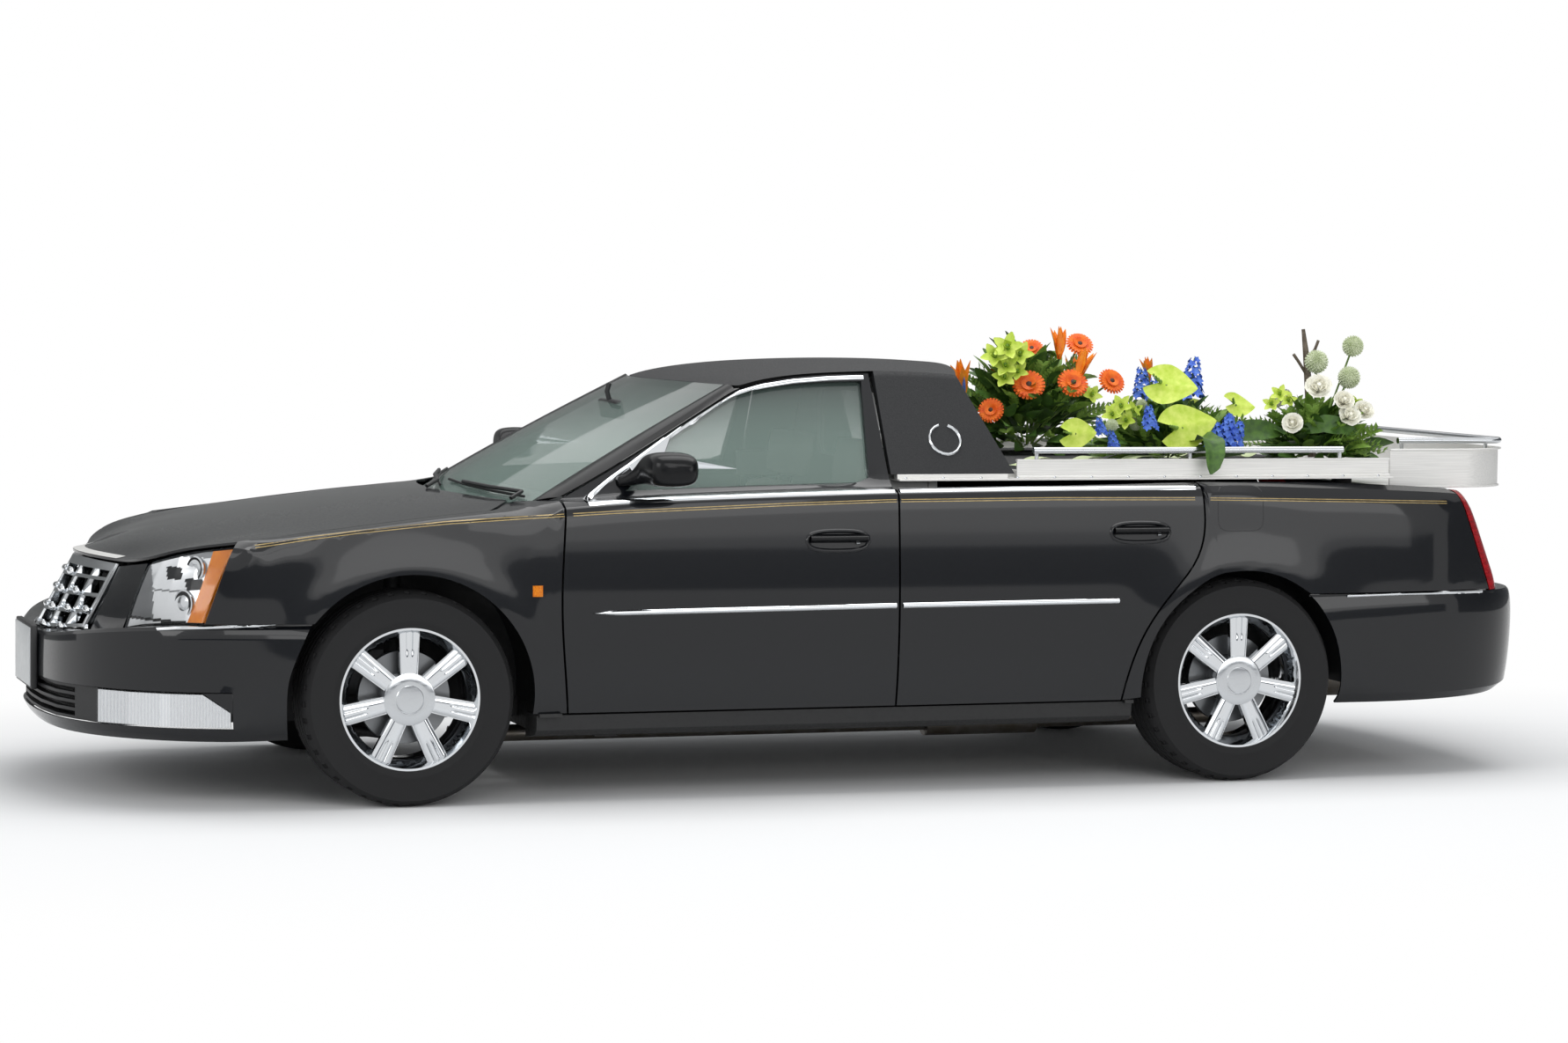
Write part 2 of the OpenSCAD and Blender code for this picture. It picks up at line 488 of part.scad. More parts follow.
// Lower edge of the windscreen and its upper edge at a share of the half width
function screen_foot(f) = [300 + 138 * f * f, screen_half_y * f, 975 - 6 * f * f];
function screen_head(f) = [1056 + 92 * f * f, 588 * f, 1366 - 4 * f * f];
function screen_point(f, v) = mix(screen_foot(f), screen_head(f), v)
    + [-6, 0, 12] * sin(180 * v) * (1 - 0.5 * f * f);
module windscreen() {
  P = [for (v = [0, 0.12, 0.3, 0.5, 0.7, 0.88, 1]) [for (f = [1, 0.9, 0.7, 0.45, 0.2, 0, -0.2, -0.45,
      -0.7, -0.9, -1])
    screen_point(f, v)]];
  skin(P, inset(P, glass_t));
}
module cowl_part() {
  fs = [0.975, 0.75, 0.5, 0.25, 0, -0.25, -0.5, -0.75, -0.975];
  cowl_gap = 13;
  cowl_z = 952;
  P = [for (r = [0, 0.5, 1]) [for (f = fs) let (rear = screen_foot(f) - [seat_clear + 0.3, 0, 4.4],
      front = [mix(bonnet_rear_x, bonnet_crest_x, f * f) + cowl_gap, screen_half_y * f, cowl_z])
    mix([min(front[0], rear[0] - 4), front[1], front[2]], rear, r)]];
  skin(P, inset(P, 10));
}

// Cab

bulkhead_x = 1830;
bulkhead_t = 32;
bulkhead_half = 752;
floor_z = 230;
rear_floor_z = 495;
module rear_window_shape(grow) {
  translate([-430 - grow, 1082 - grow]) offset_rect(860 + 2 * grow, 240 + 2 * grow, 50 + grow);
}
// Rectangle with round corners
module offset_rect(w, h, r) {
  union() {
    translate([r, 0]) square([w - 2 * r, h]);
    translate([0, r]) square([w, h - 2 * r]);
    for (x = [r, w - r], y = [r, h - r]) translate([x, y]) circle(r);
  }
}
// Stands a sheet drawn in y and z at x
module upright(x, t) { translate([x, 0, 0]) rotate([90, 0, 90]) linear_extrude(t) children(); }
module bulkhead_part() {
  upright(bulkhead_x, bulkhead_t) difference() {
    polygon([[-bulkhead_half, floor_z], [bulkhead_half, floor_z], [bulkhead_half, 1040], [585, 1362],
        [300, 1392], [-300, 1392], [-585, 1362], [-bulkhead_half, 1040]]);
    rear_window_shape(0);
  }
}
module glazing_part() {
  windscreen();
  upright(bulkhead_x + bulkhead_t / 2, glass_t) rear_window_shape(-seat_clear);
}

// A pillars between windscreen and door, and B posts below the belt
pillar_gap = 8;
module pillar() {
  n = 7;
  foot = belt(0);
  head = [FRAME_TOP[0][1], FRAME_TOP[0][2]];
  square = [foot[1] - head[1], head[0] - foot[0]] / norm(head - foot) * pillar_gap;
  P = [for (i = [0:n]) let (v = i / n, e = mix(foot, head, v) + square,
      b = [e[0], glass_y(e[0], e[1]), e[1]],
      a = screen_point(1, v) + [2, 2.4, 1])
    [b, mix(b, a, 0.35) + [0, 7, 6], mix(b, a, 0.7) + [-2, 5, 7], a]];
  // Depth of the pillar by column, from the door to the windscreen
  back = [[0, 36, 0], [4, 36, 14], [8, 34, 24], [8, 4, 26]];
  skin(P, [for (col = P) [for (j = [0:3]) col[j] - back[j]]]);
}
module cab_frame_part() {
  both() {
    pillar();
    box([mid_seam_x - 20, 680, floor_z], [mid_seam_x + 40, 752, 985]);
    box([512, 690, floor_z], [570, 752, 930]);
  }
}

// Vinyl roof: crown and sail panels in one cover
ROOF_COLS = [1, 0.94, 0.8, 0.55, 0.28, 0];
SAIL_ROWS = [1, 0.8, 0.5, 0.22];
sail_foot_z = 1068;
sail_lean = 150;
roof_t = 28;
roof_header_t = 10;
seam_row = 4;
function roof_point(i, f) =
  let (r = ROOF[i], a = abs(f)) [mix(r[1], r[0], a * a), r[2] * f,
      r[3] + (roof_height - r[4] - r[3]) * (1 - a ^ 2.6)];
function sail_point(i, q, s) =
  let (r = ROOF[i], z = mix(r[3], sail_foot_z, q), x0 = ROOF[seam_row][0],
      reach = (r[0] - x0) / (ROOF[len(ROOF) - 1][0] - x0))
  [r[0] + sail_lean * q * max(reach, 0), s * (r[2] + (r[3] - z) * 0.56), z];
module roof_part() {
  rows = [for (i = [0:len(ROOF) - 1]) concat(
    [for (q = SAIL_ROWS) sail_point(i, q, 1)], [for (f = ROOF_COLS) roof_point(i, f)],
    [for (k = [len(ROOF_COLS) - 2:-1:0]) roof_point(i, -ROOF_COLS[k])],
    [for (k = [len(SAIL_ROWS) - 1:-1:0]) sail_point(i, SAIL_ROWS[k], -1)])];
  n = len(rows[0]);
  keep = [for (i = [0:len(rows) - 2]) [for (j = [0:n - 2])
    i >= seam_row || (j >= len(SAIL_ROWS) && j < n - 1 - len(SAIL_ROWS))]];
  // Over the doors the inner face turns up to a flat rail above the window frame
  full = inset(rows, roof_t);
  inner = [for (i = [0:len(rows) - 1]) [for (j = [0:n - 1])
      let (p = rows[i][j], from_edge = min(j, n - 1 - j) - len(SAIL_ROWS))
    from_edge == -len(SAIL_ROWS) ? p - [0, sign(p[1]) * roof_t, 0]
      : i > seam_row ? full[i][j]
      : (from_edge == 0 ? p - [0, sign(p[1]) * 50, -1]
      : (from_edge == 1 ? p - [0, sign(p[1]) * 12, i == 0 ? roof_header_t : roof_t] : full[i][j]))]];
  skin(rows, inner, keep);
}

// Inside the cab

module dashboard_part() {
  wheel_y = -372;
  wheel_d = 372;
  difference() {
    translate([0, 690, 0]) rotate([90, 0, 0]) linear_extrude(1380)
      polygon([[505, 640], [505, 940], [560, 975], [640, 975], [760, 900], [775, 840], [700, 700],
          [640, 640]]);
    translate([690, 0, 0]) box([0, wheel_y - 190, 850], [200, wheel_y + 190, 920]);
  }
  translate([905, wheel_y, 905]) rotate([0, 64, 0]) {
    rotate_extrude() translate([wheel_d / 2, 0]) circle(d = 30);
    translate([0, 0, -30]) cylinder(d = 120, h = 36);
    for (a = [0, 180, 270]) rotate([0, 0, a]) translate([40, -16, -14]) cube([wheel_d / 2 - 40, 32, 16]);
    translate([0, 0, -225]) cylinder(d = 70, h = 200);
  }
}

module seats_part() {
  both() translate([0, 370, 0]) {
    box([1030, -250, floor_z], [1480, 250, 330]);
    hull() for (x = [1050, 1500], z = [360, 470]) translate([x, 260, z - (x > 1400 ? 30 : 0)])
        rotate([90, 0, 0])
      cylinder(r = 40, h = 520, $fn = 24);
    hull() for (p = [[1480, 470], [1570, 470], [1650, 960], [1710, 960]]) translate([p[0], 255, p[1]])
        rotate([90, 0, 0])
      cylinder(r = 36, h = 510, $fn = 24);
    hull() for (p = [[1672, 1020], [1722, 1020], [1690, 1150], [1730, 1150]]) translate([p[0], 140, p[1]])
        rotate([90, 0, 0])
      cylinder(r = 22, h = 280, $fn = 24);
    for (y = [-70, 70]) bar([1682, y, 960], [1700, y, 1040], 14);
  }
}

// Under the body

sill_y = 902;
// Middle of a jack pad
jack_x = 700;
jack_y = 720;
module floor_pan_part() {
  front_x0 = 484;
  step_x = wb - 590;
  box([front_x0, -770, floor_z - 25], [step_x + 25, 770, floor_z]);
  box([front_x0, -720, floor_z - 25], [front_x0 + 16, 720, 950]);
  box([step_x, -600, floor_z - 25], [step_x + 25, 600, rear_floor_z]);
  box([step_x, -600, rear_floor_z - 25], [tail_x - 223, 600, rear_floor_z]);
  both() {
    translate([420, 0, 0]) rotate([90, 0, 90]) linear_extrude(wb - 410 - 420)
      polygon([[762, floor_z - 25], [sill_y - 20, 224], [sill_y, 240], [sill_y + 6, door_z - shut_gap],
          [762, door_z - shut_gap]]);
    for (x = [[424, 500], [wb - 444, wb - 412]]) box([x[0], 880, door_z - shut_gap - 5],
        [x[1], sill_y + 27, door_z - seat_clear]);
    box([jack_x - 40, jack_y - 30, floor_z - 33], [jack_x + 40, jack_y + 30, floor_z - 25]);
    box([wb + 500, 560, rear_floor_z - 25], [wb + 560, 600, tray_z]);
    box([wb + 460, 590, rear_floor_z - 25], [tail_x - 223, 800, rear_floor_z]);
  }
}

module engine_part() {
  box([-300, -300, 235 + seat_clear], [260, 300, 640]);
  box([-240, -250, 600], [200, 250, 800]);
  for (y = [-150, 0, 150]) translate([-20, y, 800]) cylinder(d = 120, h = 40);
}

arm_z = hub_z - 146;
boss_low = hub_z - 112;
boss_high = hub_z + 112;
pin_d = 24;
liner_r = 470;
liner_t = 5;
module front_structure_part() {
  box([-170, -405, 176], [170, 405, 235]);
  both() {
    box([nose_x + 200, 330, 235], [484, 405, 310]);
    for (x = [-140, 140]) bar([x, 380, 205], [0, king_y, arm_z], 30);
    translate([0, king_y, arm_z - 24]) cylinder(d = 54, h = boss_low - seat_clear - arm_z + 24);
    translate([0, king_y, boss_low - 2]) cylinder(d = pin_d, h = 42);
    translate([0, king_y, boss_high - 40]) cylinder(d = pin_d, h = 60);
    translate([0, king_y, boss_high + seat_clear]) cylinder(d = 54,
        h = liner_r - 0.9 - boss_high + hub_z - seat_clear);
  }
  box([nose_x + 150, -440, 430], [nose_x + 205, 440, 500]);
  box([nose_x + 290, -326, 250], [nose_x + 330, 326, 690]);
  box([nose_x + 200, -405, 250], [nose_x + 340, 405, 310]);
  both() box([nose_x + 200, 340, 300], [nose_x + 260, 405, 440]);
  tow_eye([nose_x + 300, 359, 206], 250);
}
// Towing eye: a flat ring with an upright bore on a strap that hangs from what carries it
tow_r = 17;
tow_t = 14;
module tow_eye(p, top) {
  difference() {
    union() {
      translate(p - [0, 0, tow_t / 2]) cylinder(r = 2 * tow_r, h = tow_t);
      box([p[0] - 60, p[1] - 12, p[2] - tow_t / 2], [p[0] - tow_r - 6, p[1] + 12, top + 8]);
    }
    translate(p - [0, 0, tow_t]) cylinder(r = tow_r, h = 2 * tow_t);
  }
}

module rear_axle_part() {
  stub = hub_y + 52;
  translate([wb, -600, hub_z]) rotate([-90, 0, 0]) cylinder(d = 80, h = 1200);
  both() {
    translate([wb, 590, hub_z]) rotate([-90, 0, 0]) cylinder(d = axle_d, h = stub - 590);
    bar([wb, 470, hub_z - 20], [wb - 560, 470, 260], 60);
    translate([wb, 470, hub_z]) cylinder(d = 90, h = rear_floor_z - 25 - seat_clear - hub_z);
  }
  tow_eye([wb + 60, 300, 250], hub_z - 36);
}

module exhaust_part() {
  pipe_y = -180;
  pipe_z = 150;
  box_z = 300;
  rise_x = wb + 200;
  box_x = wb + 480;
  bar([300, pipe_y, pipe_z], [rise_x, pipe_y, pipe_z], 58);
  bar([rise_x - 15, pipe_y, pipe_z], [box_x + 20, pipe_y, box_z], 58);
  translate([wb - 900, pipe_y, pipe_z]) rotate([0, 90, 0]) cylinder(d = 96, h = 420);
  translate([box_x, pipe_y, box_z]) rotate([0, 90, 0]) cylinder(d = 180, h = 460);
  for (x = [700, 1500]) translate([x, pipe_y, pipe_z]) cylinder(d = 16,
      h = floor_z - 25 - seat_clear - pipe_z);
  translate([wb + 700, pipe_y, box_z]) cylinder(d = 16, h = rear_floor_z - 25 - seat_clear - box_z);
}

module arch_band(x, r, y0, y1, low) {
  intersection() {
    translate([x, y0, hub_z]) rotate([-90, 0, 0]) difference() {
      cylinder(r = r + liner_t, h = y1 - y0, $fn = 96);
      translate([0, 0, liner_t]) cylinder(r = r, h = y1 - y0, $fn = 96);
    }
    box([x - r - 50, y0 - 1, hub_z + low], [x + r + 50, y1 + 1, hub_z + r + 50]);
  }
}
module wheelhouses_part() {
  both() {
    difference() {
      arch_band(0, liner_r, 440, 858, -40);
      box([-150, 430, hub_z - 60], [150, 460, hub_z + 120]);
    }
    difference() {
      arch_band(wb, 418, 604, 832, -20);
      translate([wb, 590, hub_z]) rotate([-90, 0, 0]) cylinder(d = axle_d + 30, h = 60);
    }
  }
}

// Tail

tail_cols = 9;
function rear_point(k, z, in) =
  let (c = abs(k), s = sign(k), lift = z)
  c < len(TAIL) ? [tail_x - TAIL[c][0] - in, s * (TAIL[c][1] - in * c / 10), lift]
    : [wb + sqrt(rear_arch_r ^ 2 - (z - hub_z) ^ 2), s * (side_y(wb + 400, z) - in), lift];
// Height of the rear bumper's lower edge by column
function valance_z(k) = mix(318, 262, smooth(abs(k) / tail_cols));
module rear_bumper_part() {
  top = bumper_seam_rear_z - 5;
  P = [for (k = [tail_cols:-1:-tail_cols]) let (c = abs(k), low = valance_z(k), back = c < 8 ? 92 : 12)
    [rear_point(k, low, 60 - 3 * c), rear_point(k, low + 26, 22 - c), rear_point(k, low + 90, 8),
     rear_point(k, mix(low + 90, top, 0.5), 0), rear_point(k, top - 40, 2), rear_point(k, top - 8, 10),
     rear_point(k, top, 26 - 2 * c), rear_point(k, top + 1, back)]];
  skin(P, inset(P, skin_t));
}

// Tail lamp: slim upright lens between the quarter's rear edge and the boot lid
lamp_gap = 5;
lamp_back = 28;
module tail_lamp() {
  n = 4;
  rows = [for (v = PANEL_ROWS) min(v, 0.93)];
  P = [for (i = [0:n]) [for (j = [0:len(rows) - 1]) let (q = lamp_line(rows[j]),
      a = on_side(q[0] + lamp_gap, q[1]),
      z = j == 0 ? bumper_seam_rear_z - 3.6 : a[2], lid = boot_edge(z),
          b = [lid[0] - 2, lid[1] + shut_gap + 4, z], t = i / n)
    mix([a[0], a[1], z], b, t) + [16, 10, 0] * sin(180 * t)]];
  Q = [for (i = [0:n]) [for (p = P[i]) p - lamp_back * [sin(90 * i / n), cos(90 * i / n) - 0.45 * i / n,
      0]]];
  skin(P, Q);
}
// Side edge of the boot lid's rear face at a height
function boot_edge(z) =
  let (zt = [for (k = [len(BOOT) - 1:-1:3]) [BOOT[k][1], BOOT[k][0] - BOOT[k][3], BOOT[k][2]]])
  [curve(zt, 1, z), curve(zt, 2, z)];

module boot_lid_part() {
  fs = [1, 0.9, 0.7, 0.45, 0.2, 0, -0.2, -0.45, -0.7, -0.9, -1];
  P = [for (b = BOOT) [for (f = fs) [b[0] - b[3] * f * f, b[2] * f,
      b[1] - (b[1] > 990 ? 5 * f * f : 0)]]];
  skin(P, inset(P, 12));
}

// Flower tray

deck_z = tray_z + 32;
deck_t = 6;
wall_x0 = 2128;
module flower_tray_part() {
  plate_half = tray_half_w + 36;
  difference() {
    union() {
      box([bulkhead_x + bulkhead_t, 60 - tray_half_w, tray_z],
          [tray_end_x, tray_half_w - 60, tray_z + tray_t]);
      both() box([mid_seam_x + 30, tray_half_w - 112, tray_z], [tray_end_x, plate_half, tray_z + tray_t]);
      both() box([mid_seam_x + 30, tray_half_w - 22, tray_z],
          [2090, tray_half_w + 14, sail_foot_z - seat_clear]);
    }
    box([mid_seam_x, -bulkhead_half - 2, tray_z - 10],
        [bulkhead_x + bulkhead_t, bulkhead_half + 2, sail_foot_z]);
  }
  both() {
    box([wall_x0, tray_half_w - tray_t, tray_z], [tray_end_x, tray_half_w, tray_z + tray_wall_h]);
    box([wall_x0, tray_half_w - 14, tray_z + tray_wall_h - tray_t],
        [tray_end_x, tray_half_w + 4, tray_z + tray_wall_h]);
    box([wall_x0, tray_half_w - 24, tray_z], [tray_end_x, tray_half_w, deck_z - seat_clear]);
    translate([wall_x0, tray_half_w + 2, tray_z + 9]) rotate([0, 90, 0])
        cylinder(d = 14, h = tray_end_x - wall_x0);
  }
  for (x = [1900, wall_x0 - 16, 2400, 2900, tray_end_x - 135])
      box([x, 72 - tray_half_w, tray_z], [x + 40, tray_half_w - 72, deck_z - seat_clear]);
}

module deck_mesh_part() {
  half = tray_half_w - tray_t - 2;
  box([bulkhead_x + bulkhead_t + 4, 76 - tray_half_w, deck_z],
      [wall_x0 + 2, tray_half_w - 76, deck_z + deck_t]);
  box([wall_x0 + 6, -half, deck_z], [tray_end_x - 8, half, deck_z + deck_t]);
}

// Two straight rails on short posts that stand on the walls' inner edge
rail_x0 = 2190;
rail_x1 = tray_end_x - 179;
rail_z = tray_z + tray_wall_h + 30;
module tray_rails_part() {
  y = tray_half_w - 6;
  both() {
    bar([rail_x0, y, rail_z], [rail_x1, y, rail_z], rail_d);
    for (x = [rail_x0 + 12, (rail_x0 + rail_x1) / 2, rail_x1 - 12])
      translate([x, y, tray_z + tray_wall_h + seat_clear])
          cylinder(d = 14, h = rail_z - tray_z - tray_wall_h - seat_clear);
  }
}

// Flower arrangements: a round body on the deck, drawn out to the tips of its stems
// Columns: x, y, base radius, widest radius, height of the body, height of the tips, tip radius
FLOWERS = [[2640, 380, 150, 300, 290, 470, 40], [2900, -330, 150, 270, 200, 330, 60],
    [tray_end_x - 165, -420, 130, 200, 190, 440, 60]];
module flowers_part() {
  for (f = FLOWERS) translate([f[0], f[1], deck_z + deck_t + seat_clear])
      rotate_extrude(angle = 360, $fn = 64)
    polygon([[0, 0], [f[2], 0], [f[3], f[4] * 0.35], [f[3] * 0.94, f[4] * 0.7], [f[3] * 0.62, f[4]],
      [f[6], f[4] + (f[5] - f[4]) * 0.55], [f[6] * 0.5, f[5]], [0, f[5]]]);
}

// Tail tray on the boot lid: a rounded box open at the top, with flanged edges, and its rail
tail_x0 = tray_end_x + 17;
tail_z = 1008 + seat_clear;
tail_inset = 18;
tail_half_w = BOOT[0][2] - tail_inset;
tail_r = 230;
module tail_outline(grow) {
  w = tail_half_w + grow;
  l = tail_l + grow;
  union() {
    translate([0, -w]) square([l - tail_r, 2 * w]);
    translate([0, tail_r - w]) square([l, 2 * (w - tail_r)]);
    both2d() translate([l - tail_r, w - tail_r]) circle(tail_r);
  }
}
module both2d() { children(); mirror([0, 1]) children(); }
module tail_tray_part() {
  translate([tail_x0, 0, tail_z]) {
    difference() {
      union() {
        linear_extrude(tail_h) tail_outline(0);
        linear_extrude(tray_t) tail_outline(4);
        translate([0, 0, tail_h - tray_t]) linear_extrude(tray_t) tail_outline(8);
      }
      translate([-1, 0, tray_t]) linear_extrude(tail_h) tail_outline(-tray_t);
      translate([-1, -tail_half_w - 20, -1]) cube([1, 2 * tail_half_w + 40, tail_h + 2]);
    }
  }
}
module tail_rail_part() {
  y = tail_half_w - 70;
  x0 = tail_x0 + 66;
  x1 = tail_x0 + tail_l - 90;
  z = tail_z + tail_h + 26;
  bend_r = 60;
  post_z = tail_z + tray_t + seat_clear;
  both() {
    bar([x0, y, z], [x1, y, z], rail_d);
    translate([x1, y - bend_r, z]) rotate_extrude(angle = 90) translate([bend_r, 0]) circle(d = rail_d);
    for (x = [x0 + 16, x1 - 16]) translate([x, y, post_z]) cylinder(d = 14, h = z - post_z);
  }
  bar([x1 + bend_r, bend_r - y, z], [x1 + bend_r, y - bend_r, z], rail_d);
}

// Running gear

// Steering knuckle of the right side: upright boss, stub axle and steering arm
module knuckle_part() {
  difference() {
    union() {
      translate([0, king_y, boss_low]) cylinder(d = 58, h = boss_high - boss_low);
      translate([0, king_y, hub_z]) rotate([-90, 0, 0]) cylinder(d = 96, h = hub_y - 60 - king_y);
      translate([0, hub_y - 62, hub_z]) rotate([-90, 0, 0]) cylinder(d = 150, h = 14);
      translate([0, king_y, hub_z]) rotate([-90, 0, 0]) cylinder(d = axle_d, h = hub_y + 52 - king_y);
      bar([0, king_y, hub_z - 60], [130, king_y - 20, hub_z - 60], 26);
    }
    translate([0, king_y, boss_low - 1]) cylinder(d = pin_d + 2 * hub_clear, h = 46);
    translate([0, king_y, boss_high - 45]) cylinder(d = pin_d + 2 * hub_clear, h = 46);
  }
}

// Wheel in its own frame: axis along z, outer side up
module rim_shape() {
  r = rim_d / 2;
  h = rim_w / 2;
  well = r - 44;
  rotate_extrude($fn = 96) polygon([[r - 30, -h], [r, -h], [r, -h + 8], [r - 17, -h + 12],
      [r - 17, -h + 40], [well + 8, -h + 60],
    [well + 8, h - 70], [r - 17, h - 46], [r - 17, h - 12], [r, h - 8], [r, h], [r - 20, h],
        [r - 28, h - 12], [well - 2, h - 40],
    [well - 2, -h + 60], [r - 30, -h + 40]]);
  difference() {
    union() {
      translate([0, 0, -36]) cylinder(d = cap_d - 26, h = h + 14);
      translate([0, 0, h - 44]) cylinder(d = cap_d, h = 36);
      for (k = [0:spoke_count - 1]) rotate([0, 0, 360 * k / spoke_count - 90]) translate([0, 0, h - 38])
          linear_extrude(22)
        polygon([[50, -spoke_w * 0.4], [r - 26, -spoke_w / 2], [r - 26, spoke_w / 2],
            [50, spoke_w * 0.4]]);
    }
    translate([0, 0, -37]) cylinder(d = axle_d + 2 * hub_clear, h = 37 + 53);
  }
}
module tyre_shape() {
  r = tyre_d / 2;
  w = tyre_w / 2;
  b = rim_d / 2;
  h = rim_w / 2 - 13;
  outer = [[b - 17 + seat_clear, h], [b + 2, h], [b + 18, w - 9], [mix(b, r, 0.5), w], [r - 24, w - 6],
      [r - 6, w - 20], [r, w - 36]];
  inner = [[b - 17 + seat_clear, h - 14], [b + 4, h - 14], [b + 24, w - 24], [mix(b, r, 0.5), w - 14],
      [r - 30, w - 24], [r - 15, w - 40]];
  function back(l) = [for (k = [len(l) - 1:-1:0]) [l[k][0], -l[k][1]]];
  function rev(l) = [for (k = [len(l) - 1:-1:0]) l[k]];
  rotate_extrude($fn = 96) polygon(concat(outer, back(outer), [for (p = inner) [p[0], -p[1]]],
      rev(inner)));
}
module wheel_at(x) { translate([x, hub_y, hub_z]) rotate([-90, 0, 0]) children(); }

// Nodes

module floor_pan() { color(steel) place() floor_pan_part(); }
module engine() { color("#6b6d70") place() engine_part(); }
module front_structure() { color(steel) place() front_structure_part(); }
module rear_axle() { color(steel) place() rear_axle_part(); }
module exhaust() { color("#8a8580") place() exhaust_part(); }
module wheelhouses() { color("#1b1b1c") place() wheelhouses_part(); }
module fender_right() { color(paint) place() fender(); }
module fender_left() { color(paint) place() left() fender(); }
module quarter_right() { color(paint) place() quarter(); }
module quarter_left() { color(paint) place() left() quarter(); }
module front_bumper() { color(paint) place() front_bumper_part(); }
module rear_bumper() { color(paint) place() rear_bumper_part(); }
module grille() { color(chrome) place() grille_part(); }
module head_lamps() { color("#e8ecef") place() both() head_lamp(); }
module fog_lamps() { color("#eef0f1") place() both() fog_lamp(); }
module tail_lamps() { color("#c3122c") place() both() tail_lamp(); }
module cowl() { color("#1b1b1c") place() cowl_part(); }
module glazing() { color(glass) place() glazing_part(); }
module cab_frame() { color(paint) place() cab_frame_part(); }
module roof() { color("#2b2c2e") place() roof_part(); }
module bulkhead() { color("#2b2c2e") place() bulkhead_part(); }
module dashboard() { color("#4b4c4c") place() dashboard_part(); }
module seats() { color("#b9bab7") place() seats_part(); }
module flower_tray() { color(alloy) place() flower_tray_part(); }
module deck_mesh() { color("#4a4b4c") place() deck_mesh_part(); }
module tray_rails() { color(chrome) place() tray_rails_part(); }
module flowers() { color("#6f9a3c") place() flowers_part(); }
module front_door_right() { color(paint) place() front_door(); }
module front_door_left() { color(paint) place() left() front_door(); }
module door_glass_right() { color(glass) place() door_glass(); }
module door_glass_left() { color(glass) place() left() door_glass(); }
module mirror_right() { color(paint) place() mirror_part(); }
module mirror_left() { color(paint) place() left() mirror_part(); }
module rear_door_right() { color(paint) place() rear_door(); }
module rear_door_left() { color(paint) place() left() rear_door(); }
module bonnet() { color(paint) place() bonnet_part(); }
module boot_lid() { color(paint) place() boot_lid_part(); }
module tail_tray() { color(alloy) place() tail_tray_part(); }
module tail_rail() { color(chrome) place() tail_rail_part(); }
module knuckle_right() { color(steel) place() knuckle_part(); }
module knuckle_left() { color(steel) place() left() knuckle_part(); }
module rim_front_right() { color(chrome) place() wheel_at(0) rim_shape(); }
module rim_front_left() { color(chrome) place() left() wheel_at(0) rim_shape(); }
module rim_rear_right() { color(chrome) place() wheel_at(wb) rim_shape(); }
module rim_rear_left() { color(chrome) place() left() wheel_at(wb) rim_shape(); }
module tyre_front_right() { color("#1e1e1f") place() wheel_at(0) tyre_shape(); }
module tyre_front_left() { color("#1e1e1f") place() left() wheel_at(0) tyre_shape(); }
module tyre_rear_right() { color("#1e1e1f") place() wheel_at(wb) tyre_shape(); }
module tyre_rear_left() { color("#1e1e1f") place() left() wheel_at(wb) tyre_shape(); }

floor_pan();
engine();
front_structure();
rear_axle();
exhaust();
wheelhouses();
fender_left();
fender_right();
quarter_left();
quarter_right();
front_bumper();
rear_bumper();
grille();
head_lamps();
fog_lamps();
tail_lamps();
cowl();
glazing();
cab_frame();
roof();
bulkhead();
dashboard();
seats();
flower_tray();
deck_mesh();
tray_rails();
flowers();
front_door_left();
front_door_right();
door_glass_left();
door_glass_right();
mirror_left();
mirror_right();
rear_door_left();
rear_door_right();
bonnet();
boot_lid();
tail_tray();
tail_rail();
knuckle_left();
knuckle_right();
rim_front_left();
rim_front_right();
rim_rear_left();
rim_rear_right();
tyre_front_left();
tyre_front_right();
tyre_rear_left();
tyre_rear_right();
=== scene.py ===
import json
import math
import random

import bmesh
import bpy
from mathutils import Matrix, Vector
from mathutils.bvhtree import BVHTree


